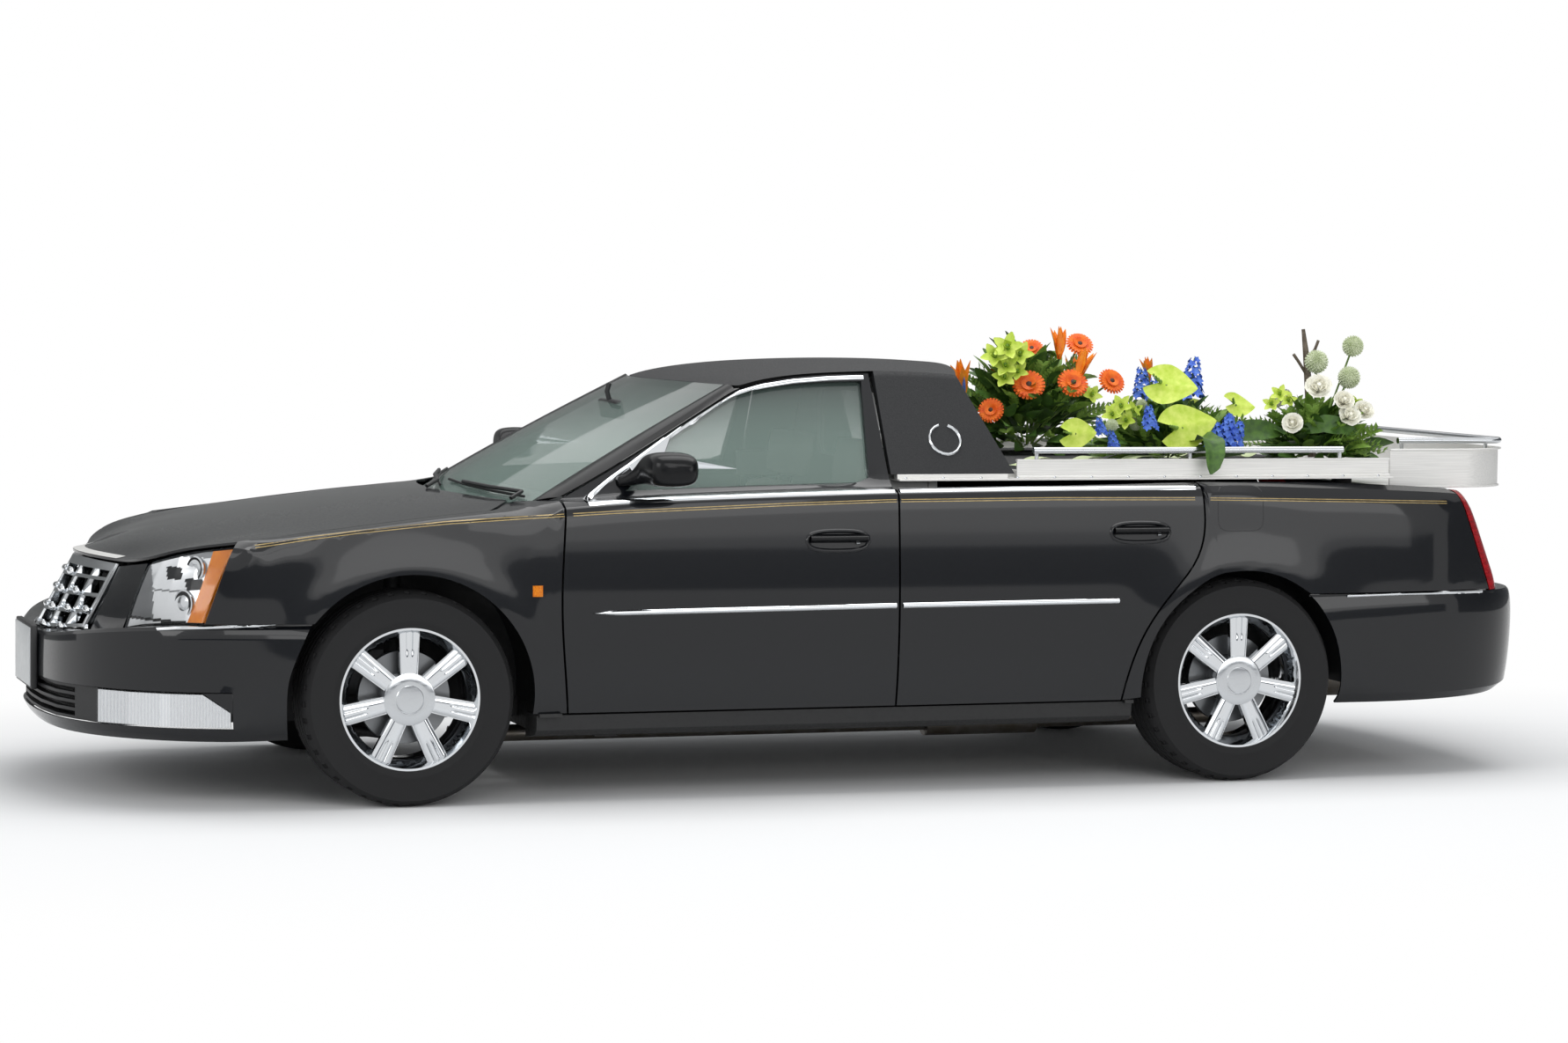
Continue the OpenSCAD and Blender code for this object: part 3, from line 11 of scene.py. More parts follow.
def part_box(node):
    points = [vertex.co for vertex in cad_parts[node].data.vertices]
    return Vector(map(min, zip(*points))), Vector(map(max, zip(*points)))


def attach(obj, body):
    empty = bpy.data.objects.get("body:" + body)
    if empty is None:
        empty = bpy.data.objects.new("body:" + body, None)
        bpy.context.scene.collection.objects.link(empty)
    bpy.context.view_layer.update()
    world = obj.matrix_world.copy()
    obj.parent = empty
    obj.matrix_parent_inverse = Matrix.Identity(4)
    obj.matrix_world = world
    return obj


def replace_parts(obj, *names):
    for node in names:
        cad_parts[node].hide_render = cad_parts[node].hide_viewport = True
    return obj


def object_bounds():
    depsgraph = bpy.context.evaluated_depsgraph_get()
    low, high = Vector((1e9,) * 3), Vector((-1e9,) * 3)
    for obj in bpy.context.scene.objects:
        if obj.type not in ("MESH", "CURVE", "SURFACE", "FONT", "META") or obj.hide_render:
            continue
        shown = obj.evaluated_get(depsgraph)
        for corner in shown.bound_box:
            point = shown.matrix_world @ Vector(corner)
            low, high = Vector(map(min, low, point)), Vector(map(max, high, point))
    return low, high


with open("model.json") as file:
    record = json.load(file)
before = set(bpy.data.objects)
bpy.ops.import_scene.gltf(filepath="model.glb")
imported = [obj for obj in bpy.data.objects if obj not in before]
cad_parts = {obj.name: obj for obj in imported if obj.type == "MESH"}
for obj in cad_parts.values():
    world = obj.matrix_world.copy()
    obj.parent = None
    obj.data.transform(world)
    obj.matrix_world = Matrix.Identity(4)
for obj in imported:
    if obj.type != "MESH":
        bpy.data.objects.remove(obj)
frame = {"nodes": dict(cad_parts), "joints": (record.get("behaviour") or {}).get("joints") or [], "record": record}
cadBox = [list(corner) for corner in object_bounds()]
jointAt = {j["name"]: Vector(j["pos_m"]) for j in frame["joints"]}
bodyOf = {n: b for b, members in frame["record"]["behaviour"]["bodies"].items() for n in members}
frontAxle = jointAt["front_wheel_left"].x
sides = {"left": -1, "right": 1}
print("frame loaded:", len(frame["nodes"]), "nodes")


def spot(x, y, z):  # millimetres behind the front axle, from the middle and above the road
    return Vector((x / 1000 + frontAxle, y / 1000, z / 1000))


def linear(hexColour):
    parts = [int(hexColour[i:i + 2], 16) / 255 for i in (1, 3, 5)]
    return tuple(p / 12.92 if p <= 0.04045 else ((p + 0.055) / 1.055) ** 2.4 for p in parts) + (1,)


def addNode(tree, kind, settings=None, links=None):
    node = tree.nodes.new("ShaderNode" + kind)
    for key, value in (settings or {}).items():
        if isinstance(key, int) or key in node.inputs:
            node.inputs[key].default_value = value
        else:
            setattr(node, key, value)
    for key, socket in (links or {}).items():
        tree.links.new(socket, node.inputs[key])
    return node


def gridMesh(columns, rows, size=1):
    bm = bmesh.new()
    bmesh.ops.create_grid(bm, x_segments=columns, y_segments=rows, size=size)
    return bm


def meshFrom(name, bm):
    mesh = bpy.data.meshes.new(name)
    bm.to_mesh(mesh)
    bm.free()
    return mesh


def pieceFrom(name, bm, materials):
    mesh = meshFrom(name, bm)
    for material in materials:
        mesh.materials.append(material)
    piece = bpy.data.objects.new(name, mesh)
    bpy.context.scene.collection.objects.link(piece)
    return piece


def faceOut(bm, way=None):  # normals outwards, or an open sheet's all to one way
    bmesh.ops.recalc_face_normals(bm, faces=bm.faces)
    if way is not None and sum(f.normal.dot(way) for f in bm.faces) < 0:
        bmesh.ops.reverse_faces(bm, faces=bm.faces)


def surfaceOf(piece):  # what rays are cast on to
    bpy.context.view_layer.update()
    return BVHTree.FromObject(piece, bpy.context.evaluated_depsgraph_get())


def newMaterial(name, colour, sockets):
    material = bpy.data.materials.new(name)
    material.use_nodes = True
    shader = material.node_tree.nodes["Principled BSDF"]
    shader.inputs["Base Color"].default_value = linear(colour)
    for key, value in sockets.items():
        shader.inputs[key].default_value = value
    return material


# A surface pattern: its size and depth in millimetres, and what it does to roughness and colour
def addGrain(material, sizeMm, depthMm, stretch=(1, 1, 1), roughness=None, colours=None, kind="Noise"):
    tree = material.node_tree
    shader = tree.nodes["Principled BSDF"]
    where = addNode(tree, "TexCoord")
    mapped = addNode(tree, "Mapping", {"Scale": stretch}, {"Vector": where.outputs["Object"]})
    pattern = addNode(tree, "Tex" + kind, {"Scale": 1000 / sizeMm, "Detail": 3},
                      {"Vector": mapped.outputs["Vector"]})
    height = pattern.outputs[0]
    if depthMm:
        bump = addNode(tree, "Bump", {"Strength": 1, "Distance": depthMm / 1000}, {"Height": height})
        tree.links.new(bump.outputs["Normal"], shader.inputs["Normal"])
    if roughness:
        spread = addNode(tree, "MapRange", {"From Min": 0.3, "From Max": 0.7, "To Min": roughness[0],
                                                      "To Max": roughness[1]}, {"Value": height})
        tree.links.new(spread.outputs["Result"], shader.inputs["Roughness"])
    if colours:
        ramp = addNode(tree, "ValToRGB", links={"Fac": height})
        ramp.color_ramp.elements[0].position = 0.32
        ramp.color_ramp.elements[1].position = 0.68
        for element, colour in zip(ramp.color_ramp.elements, colours):
            element.color = linear(colour)
        tree.links.new(ramp.outputs["Color"], shader.inputs["Base Color"])
    return material


# Camera and studio

view = {"place": spot(-2945.9, -13518.8, 1750), "yaw": 18.451, "pitch": -3.582, "roll": 0.67,
        "focalPx": 4561.3, "imageWidth": 1782, "sensor": 36}
yaw, pitch, roll = (math.radians(view[k]) for k in ("yaw", "pitch", "roll"))
ahead = Vector((math.sin(yaw) * math.cos(pitch), math.cos(yaw) * math.cos(pitch), math.sin(pitch)))
right = Vector((math.cos(yaw), -math.sin(yaw), 0))
upward = right.cross(ahead)
right, upward = (right * math.cos(roll) + upward * math.sin(roll),
                 upward * math.cos(roll) - right * math.sin(roll))
cameraData = bpy.data.cameras.new("photoCamera")
cameraData.sensor_width = view["sensor"]
cameraData.lens = view["focalPx"] / view["imageWidth"] * view["sensor"]
cameraData.clip_end = 200
camera = bpy.data.objects.new("photoCamera", cameraData)
camera.matrix_world = Matrix.Translation(view["place"]) @ Matrix((right, upward, -ahead)).transposed().to_4x4()
bpy.context.scene.collection.objects.link(camera)
bpy.context.scene.camera = camera
bpy.context.scene.view_settings.view_transform = "Standard"

studio = {"floor": 60, "fadeAt": (0, 0.3, 0), "fadeShape": (0.62, 1, 1), "fade": (1.6, 3.4), "fill": "#e4e7ea",
          "fillLevel": 0.6,
          "cards": [("cameraSideCard", (-2, -24, 1.4), (26, 1.3), 0, "#8d9198"),
                    ("farSideCard", (0, 17, 4.6), (30, 4.7), 0, "#a8a8a6"),
                    ("rearCard", (17, 0, 4.6), (14, 4.7), 90, "#7d7f82")],
          "lamps": [("overheadSoftbox", (1.0, 0.0, 6.2), (1.0, 0, 0.4), 7.5, 4.2, 280),
                    ("sideSoftbox", (-1.0, -8.0, 4.6), (0.2, 0, 0.6), 7.0, 2.6, 120),
                    ("frontSoftbox", (-8.0, -3.0, 3.6), (-1.5, 0, 0.6), 4.0, 2.4, 100),
                    ("longSoftbox", (5.0, -15.0, 4.0), (5.0, 0, 4.0), 17.0, 3.0, 360),
                    ("lowSoftbox", (5.0, -15.0, 2.1), (5.0, 0, 2.1), 17.0, 0.8, 44)]}


def areaLamp(name, place, target, width, depth, power):
    data = bpy.data.lights.new(name, "AREA")
    data.shape = "RECTANGLE"
    data.size, data.size_y, data.energy = width, depth, power
    lamp = bpy.data.objects.new(name, data)
    lamp.location = place
    lamp.rotation_euler = (Vector(target) - Vector(place)).to_track_quat("-Z", "Y").to_euler()
    lamp.visible_camera = False
    bpy.context.scene.collection.objects.link(lamp)


def viewedRays(tree):  # one for rays that end in the eye: straight, mirrored or through glass
    path = addNode(tree, "LightPath")
    cameraOrGlossy = addNode(tree, "Math", {"operation": "MAXIMUM"},
                             {0: path.outputs["Is Camera Ray"], 1: path.outputs["Is Glossy Ray"]})
    viewed = addNode(tree, "Math", {"operation": "MAXIMUM"},
                     {0: cameraOrGlossy.outputs[0], 1: path.outputs["Is Transmission Ray"]})
    return viewed.outputs[0]


for settings in studio["lamps"]:
    areaLamp(*settings)
world = bpy.data.worlds.new("studioWhite")
bpy.context.scene.world = world
world.use_nodes = True
tree = world.node_tree
tree.nodes.clear()
fill = addNode(tree, "Background", {"Color": linear(studio["fill"]), "Strength": studio["fillLevel"]})
white = addNode(tree, "Background", {"Color": (1, 1, 1, 1), "Strength": 1})
either = addNode(tree, "MixShader", links={0: viewedRays(tree), 1: fill.outputs[0], 2: white.outputs[0]})
addNode(tree, "OutputWorld", links={"Surface": either.outputs[0]})

# Matt white floor paint: keeps a soft shadow near the car and runs into the white background further out
floorPaint = newMaterial("mattWhiteFloorPaint", "#f4f4f4", {"Roughness": 0.9})
tree = floorPaint.node_tree
where = addNode(tree, "TexCoord")
flatten = addNode(tree, "Mapping", {"Location": studio["fadeAt"], "Scale": studio["fadeShape"]},
                  {"Vector": where.outputs["Object"]})
distance = addNode(tree, "VectorMath", {"operation": "LENGTH"}, {0: flatten.outputs["Vector"]})
fade = addNode(tree, "MapRange", {"From Min": studio["fade"][0], "From Max": studio["fade"][1]},
               {"Value": distance.outputs["Value"]})
fade.interpolation_type = "SMOOTHSTEP"
share = addNode(tree, "Math", {"operation": "MULTIPLY"}, {0: fade.outputs["Result"], 1: viewedRays(tree)})
white = addNode(tree, "Emission", {"Color": (1, 1, 1, 1), "Strength": 1})
either = addNode(tree, "MixShader",
                 links={0: share.outputs[0], 1: tree.nodes["Principled BSDF"].outputs[0], 2: white.outputs[0]})
tree.links.new(either.outputs[0], tree.nodes["Material Output"].inputs["Surface"])
bm = gridMesh(4, 4, studio["floor"] / 2)
pieceFrom("studioFloor", bm, [floorPaint])

# Grey cards, as a photographer sets them: only bright and glossy surfaces see them
for cardName, place, halves, heading, shade in studio["cards"]:
    bm = gridMesh(2, 2)
    bmesh.ops.transform(bm, verts=bm.verts, matrix=Matrix.Translation(place)
                        @ Matrix.Rotation(math.radians(heading), 4, "Z") @ Matrix.Rotation(math.pi / 2, 4, "X")
                        @ Matrix.Diagonal((*halves, 1, 1)))
    card = pieceFrom(cardName, bm, [newMaterial(cardName + "Paper", shade, {"Roughness": 0.9})])
    card.visible_camera = card.visible_diffuse = card.visible_shadow = card.visible_transmission = False
print("studio ready")

# Finishes

# Gloss enamel on steel: near black, with a clear coat that carries sharp reflections
blackEnamel = newMaterial("blackEnamelPaint", "#0c0e12", {
    "Roughness": 0.3, "Specular IOR Level": 0.12, "Coat Weight": 0.75, "Coat Roughness": 0.05, "Coat IOR": 1.45})
addGrain(blackEnamel, 9, 0, roughness=(0.3, 0.36))
# Grained vinyl cover: soft black with a leather-like emboss, drawn coarse enough to show
roofVinyl = newMaterial("embossedVinyl", "#1d1e20", {"Roughness": 0.62, "Specular IOR Level": 0.35})
addGrain(roofVinyl, 5, 0.5, roughness=(0.55, 0.72))
# Chromium plate: mirror bright, a breath of polish haze
chromePlate = newMaterial("chromiumPlate", "#d4d7da", {"Metallic": 1, "Roughness": 0.07})
addGrain(chromePlate, 30, 0, roughness=(0.05, 0.1))
# Polished stainless tube: a little softer than chrome
stainless = newMaterial("polishedStainless", "#c3c6c9", {"Metallic": 1, "Roughness": 0.16})
addGrain(stainless, 4, 0, stretch=(0.05, 1, 1), roughness=(0.12, 0.24))
# Brushed aluminium sheet: pale satin with fine lines along the car
brushedAluminium = newMaterial("satinAluminiumSheet", "#dddcd9", {"Metallic": 0.35, "Roughness": 0.42})
addGrain(brushedAluminium, 3, 0.01, stretch=(0.02, 1, 1), roughness=(0.36, 0.5), colours=("#d6d5d2", "#e4e3e0"))
# Moulded black plastic: fine spark-eroded texture, dull sheen, and a smoother one for mirrors and posts
blackPlastic = newMaterial("mouldedBlackPlastic", "#141517", {"Roughness": 0.5})
addGrain(blackPlastic, 2.5, 0.08, roughness=(0.42, 0.58))
glossPlastic = newMaterial("glossBlackPlastic", "#0d0e10", {"Roughness": 0.25, "Specular IOR Level": 0.22})
addGrain(glossPlastic, 6, 0, roughness=(0.16, 0.24))
# Tyre rubber: dull, dusty black
tyreRubber = newMaterial("tyreRubber", "#1c1c1d", {"Roughness": 0.78, "Specular IOR Level": 0.3})
addGrain(tyreRubber, 3, 0.12, roughness=(0.7, 0.86), colours=("#19191a", "#212122"))
# Painted chassis steel: dusty black below the floor
chassisBlack = newMaterial("chassisPaint", "#131415", {"Roughness": 0.6})
addGrain(chassisBlack, 12, 0.2, roughness=(0.5, 0.72), colours=("#101112", "#1b1b1c"))
# Bare metals: dull casting, heat-tinted pipe, ground disc and coated wire
castAlloy = newMaterial("sandCastAlloy", "#7d7f81", {"Metallic": 0.9, "Roughness": 0.5})
addGrain(castAlloy, 4, 0.25, roughness=(0.42, 0.62))
exhaustSteel = newMaterial("heatTintedSteel", "#8b867f", {"Metallic": 1, "Roughness": 0.4})
addGrain(exhaustSteel, 60, 0.05, roughness=(0.32, 0.5), colours=("#8f8b86", "#766d60"))
groundIron = newMaterial("groundDiscIron", "#77797b", {"Metallic": 1, "Roughness": 0.34})
addGrain(groundIron, 2, 0.02, roughness=(0.28, 0.42))
meshSteel = newMaterial("blackCoatedWire", "#1a1b1c", {"Metallic": 0.3, "Roughness": 0.5})
addGrain(meshSteel, 4, 0.05, roughness=(0.42, 0.6))
# Soft seat leather: pale grey with a pebble grain
seatLeather = newMaterial("paleGreyLeather", "#c9c7c2", {"Roughness": 0.55, "Specular IOR Level": 0.4})
addGrain(seatLeather, 3, 0.15, roughness=(0.48, 0.64), colours=("#c3c1bc", "#d0cec9"))
# Cabin plastics and cloth: matt greys that show softly through the glass
dashPlastic = newMaterial("softDashFoam", "#4d4f50", {"Roughness": 0.65})
addGrain(dashPlastic, 2.5, 0.12, roughness=(0.58, 0.74))
liningCloth = newMaterial("paleLiningCloth", "#b9bab8", {"Roughness": 0.85})
addGrain(liningCloth, 3, 0.02, roughness=(0.8, 0.92))
# Lens acrylics: clear colour with a faint moulded pattern
amberLens = newMaterial("amberAcrylic", "#d97706", {"Roughness": 0.2, "Coat Weight": 0.2})
addGrain(amberLens, 6, 0.25, roughness=(0.08, 0.18), colours=("#cf6800", "#e38a12"))
redLens = newMaterial("redAcrylic", "#a80d14", {"Roughness": 0.16, "Specular IOR Level": 0.15, "Coat Weight": 0.05,
                                                "Coat Roughness": 0.03})
addGrain(redLens, 8, 0.2, stretch=(0.1, 0.1, 1), roughness=(0.08, 0.18), colours=("#86040c", "#b00b16"))
# Hand-drawn coach line: dull gold
goldStripe = newMaterial("goldPinstripePaint", "#a38c58", {"Roughness": 0.4, "Metallic": 0.3})
addGrain(goldStripe, 20, 0, colours=("#97804c", "#b09a68"))
# Plate sheet: plain pale grey
plateBlank = newMaterial("blankPlateSheet", "#b9bcbd", {"Roughness": 0.35, "Metallic": 0.2})
addGrain(plateBlank, 25, 0.02, roughness=(0.3, 0.42))


# Glass: clear to look through, brighter at a slant where it mirrors the studio
def glassMaterial(name, tint, clear, edge, tintAndShadeBand=None):
    material = newMaterial(name, tint, {"Roughness": 0.03, "Specular IOR Level": 0.8, "Coat Weight": 0.5,
                                        "Coat Roughness": 0.02})
    glassTree = material.node_tree
    slant = addNode(glassTree, "LayerWeight", {"Blend": 0.35})
    cover = addNode(glassTree, "MapRange", {"To Min": clear, "To Max": edge},
                    {"Value": slant.outputs["Fresnel"]})
    if tintAndShadeBand:  # a darker band from one height to another: a real tint band on the windscreen, and painted shade of the dark cabin behind the side glass
        where = addNode(glassTree, "TexCoord")
        height = addNode(glassTree, "SeparateXYZ", links={0: where.outputs["Object"]})
        shade = addNode(glassTree, "MapRange", {"From Min": tintAndShadeBand[0], "From Max": tintAndShadeBand[1]},
                        {"Value": height.outputs["Z"]})
        mixed = addNode(glassTree, "Mix", {"data_type": "RGBA", 6: linear(tint), 7: linear(tintAndShadeBand[2])},
                        {0: shade.outputs["Result"]})
        glassTree.links.new(mixed.outputs[2], glassTree.nodes["Principled BSDF"].inputs["Base Color"])
        cover = addNode(glassTree, "Math", {"operation": "MULTIPLY_ADD", 1: tintAndShadeBand[3], "use_clamp": True},
                        {0: shade.outputs["Result"], 2: cover.outputs["Result"]})
    glassTree.links.new(cover.outputs[0], glassTree.nodes["Principled BSDF"].inputs["Alpha"])
    return material


# Darker and less clear from 1.16 m up: a real tint band on the windscreen, painted shade of the dark cabin on the side
# glass
greenGlass = glassMaterial("greenTintedGlass", "#8fa69d", 0.32, 0.62, (1.16, 1.4, "#3a4240", 0.3))
lampClear = glassMaterial("clearPolycarbonate", "#a3a7aa", 0.03, 0.26)
# Silvered glass: a clean mirror
mirrorGlass = newMaterial("silveredGlass", "#dfe3e6", {"Metallic": 1, "Roughness": 0.02})
print("finishes:", len(bpy.data.materials))


# Making pieces

def finishPiece(name, bm, materials, body, levels=0, bevelMm=0, softAngle=35):
    piece = pieceFrom(name, bm, materials if isinstance(materials, (list, tuple)) else [materials])
    piece.data.shade_smooth()
    piece.data.set_sharp_from_angle(angle=math.radians(softAngle))
    if levels:
        smooth = piece.modifiers.new("smooth", "SUBSURF")
        smooth.levels = smooth.render_levels = levels
    if bevelMm:
        edge = piece.modifiers.new("edge", "BEVEL")
        edge.width = bevelMm / 1000
        edge.segments = 2
        edge.limit_method = "ANGLE"
        edge.angle_limit = math.radians(40)
        edge.use_clamp_overlap = True
    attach(piece, body)
    return piece


def mergedCopy(node, joined=True):  # a solid's mesh as one sheet, its triangles joined into broader faces
    bm = bmesh.new()
    bm.from_mesh(frame["nodes"][node].data)
    bmesh.ops.remove_doubles(bm, verts=bm.verts, dist=0.00005)
    if joined:
        bmesh.ops.join_triangles(bm, faces=bm.faces, angle_face_threshold=math.radians(40),
                                 angle_shape_threshold=math.radians(180))
    return bm


# A smooth-shaded piece over a solid; with levels its flat facets become one flowing surface
def dressNode(node, materials, levels=0, softAngle=35, bevelMm=0, pick=None):
    bm = mergedCopy(node, joined=levels > 0)
    for f in bm.faces if pick else ():
        f.material_index = pick(f.calc_center_median())
    if levels:
        crease = bm.edges.layers.float.new("crease_edge")
        for e in bm.edges:
            if len(e.link_faces) != 2 or e.calc_face_angle(0) > math.radians(softAngle):
                e[crease] = 1
    else:
        bmesh.ops.dissolve_limit(bm, angle_limit=math.radians(1), verts=bm.verts, edges=bm.edges)
    piece = finishPiece(node + "_skin", bm, materials, bodyOf[node], levels, bevelMm, softAngle)
    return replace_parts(piece, node)


skins = {}
panelNodes = ["bonnet", "boot_lid", "front_bumper", "rear_bumper"]
panelNodes += [f"{n}_{side}" for n in ("fender", "quarter", "front_door", "rear_door") for side in sides]
for node in panelNodes:
    skins[node] = dressNode(node, blackEnamel, levels=2, softAngle=32)
skins["roof"] = dressNode("roof", roofVinyl, levels=2, softAngle=32)
for node in ("glazing", "door_glass_left", "door_glass_right"):
    skins[node] = dressNode(node, greenGlass, levels=1, softAngle=32)
for node in ("mirror_left", "mirror_right"):
    skins[node] = dressNode(node, glossPlastic, levels=2, softAngle=50)
plainNodes = [("floor_pan", chassisBlack, "chassis_black", 2), ("engine", castAlloy, "engine_casting", 2),
              ("front_structure", chassisBlack, "chassis_black", 0), ("rear_axle", chassisBlack, "chassis_black", 0),
              ("exhaust", exhaustSteel, "exhaust_steel", 0), ("wheelhouses", blackPlastic, "black_plastic", 0),
              ("cowl", blackPlastic, "black_plastic", 1),
              ("cab_frame", glossPlastic, "body_paint", 2), ("bulkhead", liningCloth, "dash_plastic", 2),
              ("dashboard", dashPlastic, "dash_plastic", 0), ("flower_tray", brushedAluminium, "tray_aluminium", 1.5),
              ("tray_rails", stainless, "rail_chrome", 0), ("tail_tray", brushedAluminium, "tray_aluminium", 1.5),
              ("tail_rail", stainless, "rail_chrome", 0), ("knuckle_left", castAlloy, "chassis_black", 0),
              ("knuckle_right", castAlloy, "chassis_black", 0)]
for node, material, slotName, bevelMm in plainNodes:
    skins[node] = dressNode(node, material, bevelMm=bevelMm)
grilleBands = (0.45, 0.738)  # dark lower bars, bright crate, satin header
skins["grille"] = dressNode("grille", [blackPlastic, chromePlate, stainless], bevelMm=1.2,
                            pick=lambda centre: sum(centre.z > height for height in grilleBands))
wheelCorners = [f"{end}_{side}" for end in ("front", "rear") for side in sides]
for corner in wheelCorners:
    skins["rim_" + corner] = dressNode("rim_" + corner, chromePlate, bevelMm=2.2, softAngle=32)
print("solids dressed:", len(skins))

# Trim laid on the panels

surfaces = {node: surfaceOf(skins[node]) for node in panelNodes + ["roof", "glazing"]}


def onSide(surface, side, x, z):  # the outer skin at a place seen from the side
    start = spot(x, side * 2500, z)
    hit, normal, _, _ = surface.ray_cast(start, Vector((0, -side, 0)))
    if hit is None:
        hit, normal, _, _ = surface.find_nearest(spot(x, side * 900, z))
    return hit, (normal if normal.y * side > 0 else -normal)


def alongPath(points, share):
    lengths = [math.dist(a, b) for a, b in zip(points, points[1:])]
    left = share * sum(lengths)
    for (a, b), length in zip(zip(points, points[1:]), lengths):
        if left <= length or b is points[-1]:
            t = left / length
            return [p + (q - p) * t for p, q in zip(a, b)], [(q - p) / length for p, q in zip(a, b)]
        left -= length


# A strip of trim on a panel: it follows points in side view, with a crown across its width
def layStrip(name, node, side, points, widthMm, crownMm, material, taper=0, liftMm=0.6, across=4):
    steps = max(8, int(sum(math.dist(a, b) for a, b in zip(points, points[1:])) / 18))
    bm = gridMesh(steps, across)
    for v in bm.verts:
        share, offset = (v.co.x + 1) / 2, v.co.y
        (x, z), (dx, dz) = alongPath(points, share)
        reach = widthMm / 2 * (1 - taper * max(0, 1 - share * steps / 6) ** 2)
        hit, normal = onSide(surfaces[node], side, x - dz * offset * reach, z + dx * offset * reach)
        v.co = hit + normal * (liftMm + crownMm * math.cos(offset * math.pi / 2)) / 1000
    faceOut(bm, Vector((0, side, 0)))
    return finishPiece(name, bm, material, bodyOf[node], softAngle=60)


trim = {"pinstripe": [(-505, 851), (-340, 876), (-186, 895), (112, 924), (382, 939), (500, 945), (677, 954), (977, 965),
                      (1282, 976), (1622, 985), (2225, 988), (2748, 984), (3016, 979), (3393, 971), (3738, 961)],
        "stripeGap": 7.5, "stripeWidth": 2.6,
        "sideMoulding": [(600, 625), (1126, 630), (1620, 635), (2062, 637.5), (2456, 639)], "mouldingWidth": 17,
        "belt": [(590, 981), (863, 996), (1288, 1008), (1554, 1015), (1645, 1017), (2043, 1021), (2396, 1022),
                 (2749, 1022)],
        "beltWidth": 15,
        "frameLine": [(590, 986), (709, 1069), (841, 1152), (977, 1236), (1100, 1304), (1180, 1337), (1260, 1359),
                      (1371, 1376), (1500, 1386), (1590, 1389), (1628, 1389.5)], "frameWidth": 15,
        "rearLine": [(3330, 641), (3569, 645), (3890, 644)],
        "stripeSpans": [("fender", -505, 522), ("front_door", 534, 1652), ("rear_door", 1668, 2742),
                        ("quarter", 2800, 3738)],
        "mouldingSpans": [("front_door", 600, 1648), ("rear_door", 1672, 2456)],
        "beltSpans": [("front_door", 592, 1650), ("rear_door", 1670, 2748)]}


def between(points, x0, x1):  # the part of a line from x0 to x1, with points at its ends
    def zAt(x):
        for (xa, za), (xb, zb) in zip(points, points[1:]):
            if xa <= x <= xb:
                return za + (zb - za) * (x - xa) / (xb - xa)
        return points[0][1] if x < points[0][0] else points[-1][1]
    return [(x0, zAt(x0))] + [p for p in points if x0 + 5 < p[0] < x1 - 5] + [(x1, zAt(x1))]


for sideName, side in sides.items():
    for node, x0, x1 in trim["stripeSpans"]:
        for row in (-0.5, 0.5):
            line = [(x, z + row * trim["stripeGap"]) for x, z in between(trim["pinstripe"], x0, x1)]
            layStrip(f"pinstripe_{node}_{sideName}_{'low' if row < 0 else 'high'}", f"{node}_{sideName}", side, line,
                     trim["stripeWidth"], 0, goldStripe, liftMm=0.4, across=1)
    for node, x0, x1 in trim["mouldingSpans"]:
        layStrip(f"side_moulding_{node}_{sideName}", f"{node}_{sideName}", side, between(trim["sideMoulding"], x0, x1),
                 trim["mouldingWidth"], 7, chromePlate, taper=0.8 if node == "front_door" else 0)
    for node, x0, x1 in trim["beltSpans"]:
        layStrip(f"belt_moulding_{node}_{sideName}", f"{node}_{sideName}", side, between(trim["belt"], x0, x1),
                 trim["beltWidth"], 5, chromePlate)
    layStrip(f"window_moulding_{sideName}", f"front_door_{sideName}", side, trim["frameLine"], trim["frameWidth"], 4,
             chromePlate)
    layStrip(f"rear_bumper_line_{sideName}", "rear_bumper", side, trim["rearLine"], 10, 4, chromePlate)
print("trim laid")

# Wheels

spokes = {"count": 7, "reach": (80, 222), "halves": (25, 33), "face": 92.6, "crown": 6, "grooveAt": 0.3,
          "grooveWidth": 0.08, "grooveDepth": 4.5, "grooveFrom": 145}
tyre = {"radius": 351, "bead": 229, "half": 116, "grooves": (-62, -22, 22, 62), "grooveWidth": 9, "grooveDepth": 8,
        "steps": 120, "sipeDepth": 5, "sipeFrom": 66, "sipeBand": 12, "sipePitch": 3}
hub = {"cap": [(0.01, 106), (30, 105.6), (44, 104.6), (46, 102.6), (49, 103), (80, 101.6), (85, 99.6), (86, 96),
               (85, 88)],
       "disc": [(70, 22), (82, 20), (84, 6), (152, 6), (153, 5), (153, -18), (152, -19), (70, -19)],
       "discOut": 12, "steps": 64}


def spunPiece(bm, profile, centre, axis, across, steps):  # profile in millimetres: radius, place along the axis
    points = [centre + across * (r / 1000) + axis * (t / 1000) for r, t in profile]
    verts = [bm.verts.new(p) for p in points]
    edges = [bm.edges.new(pair) for pair in zip(verts, verts[1:])]
    bmesh.ops.spin(bm, geom=verts + edges, cent=centre, axis=axis, angle=2 * math.pi, steps=steps, use_merge=True)
    bmesh.ops.remove_doubles(bm, verts=bm.verts, dist=0.00002)


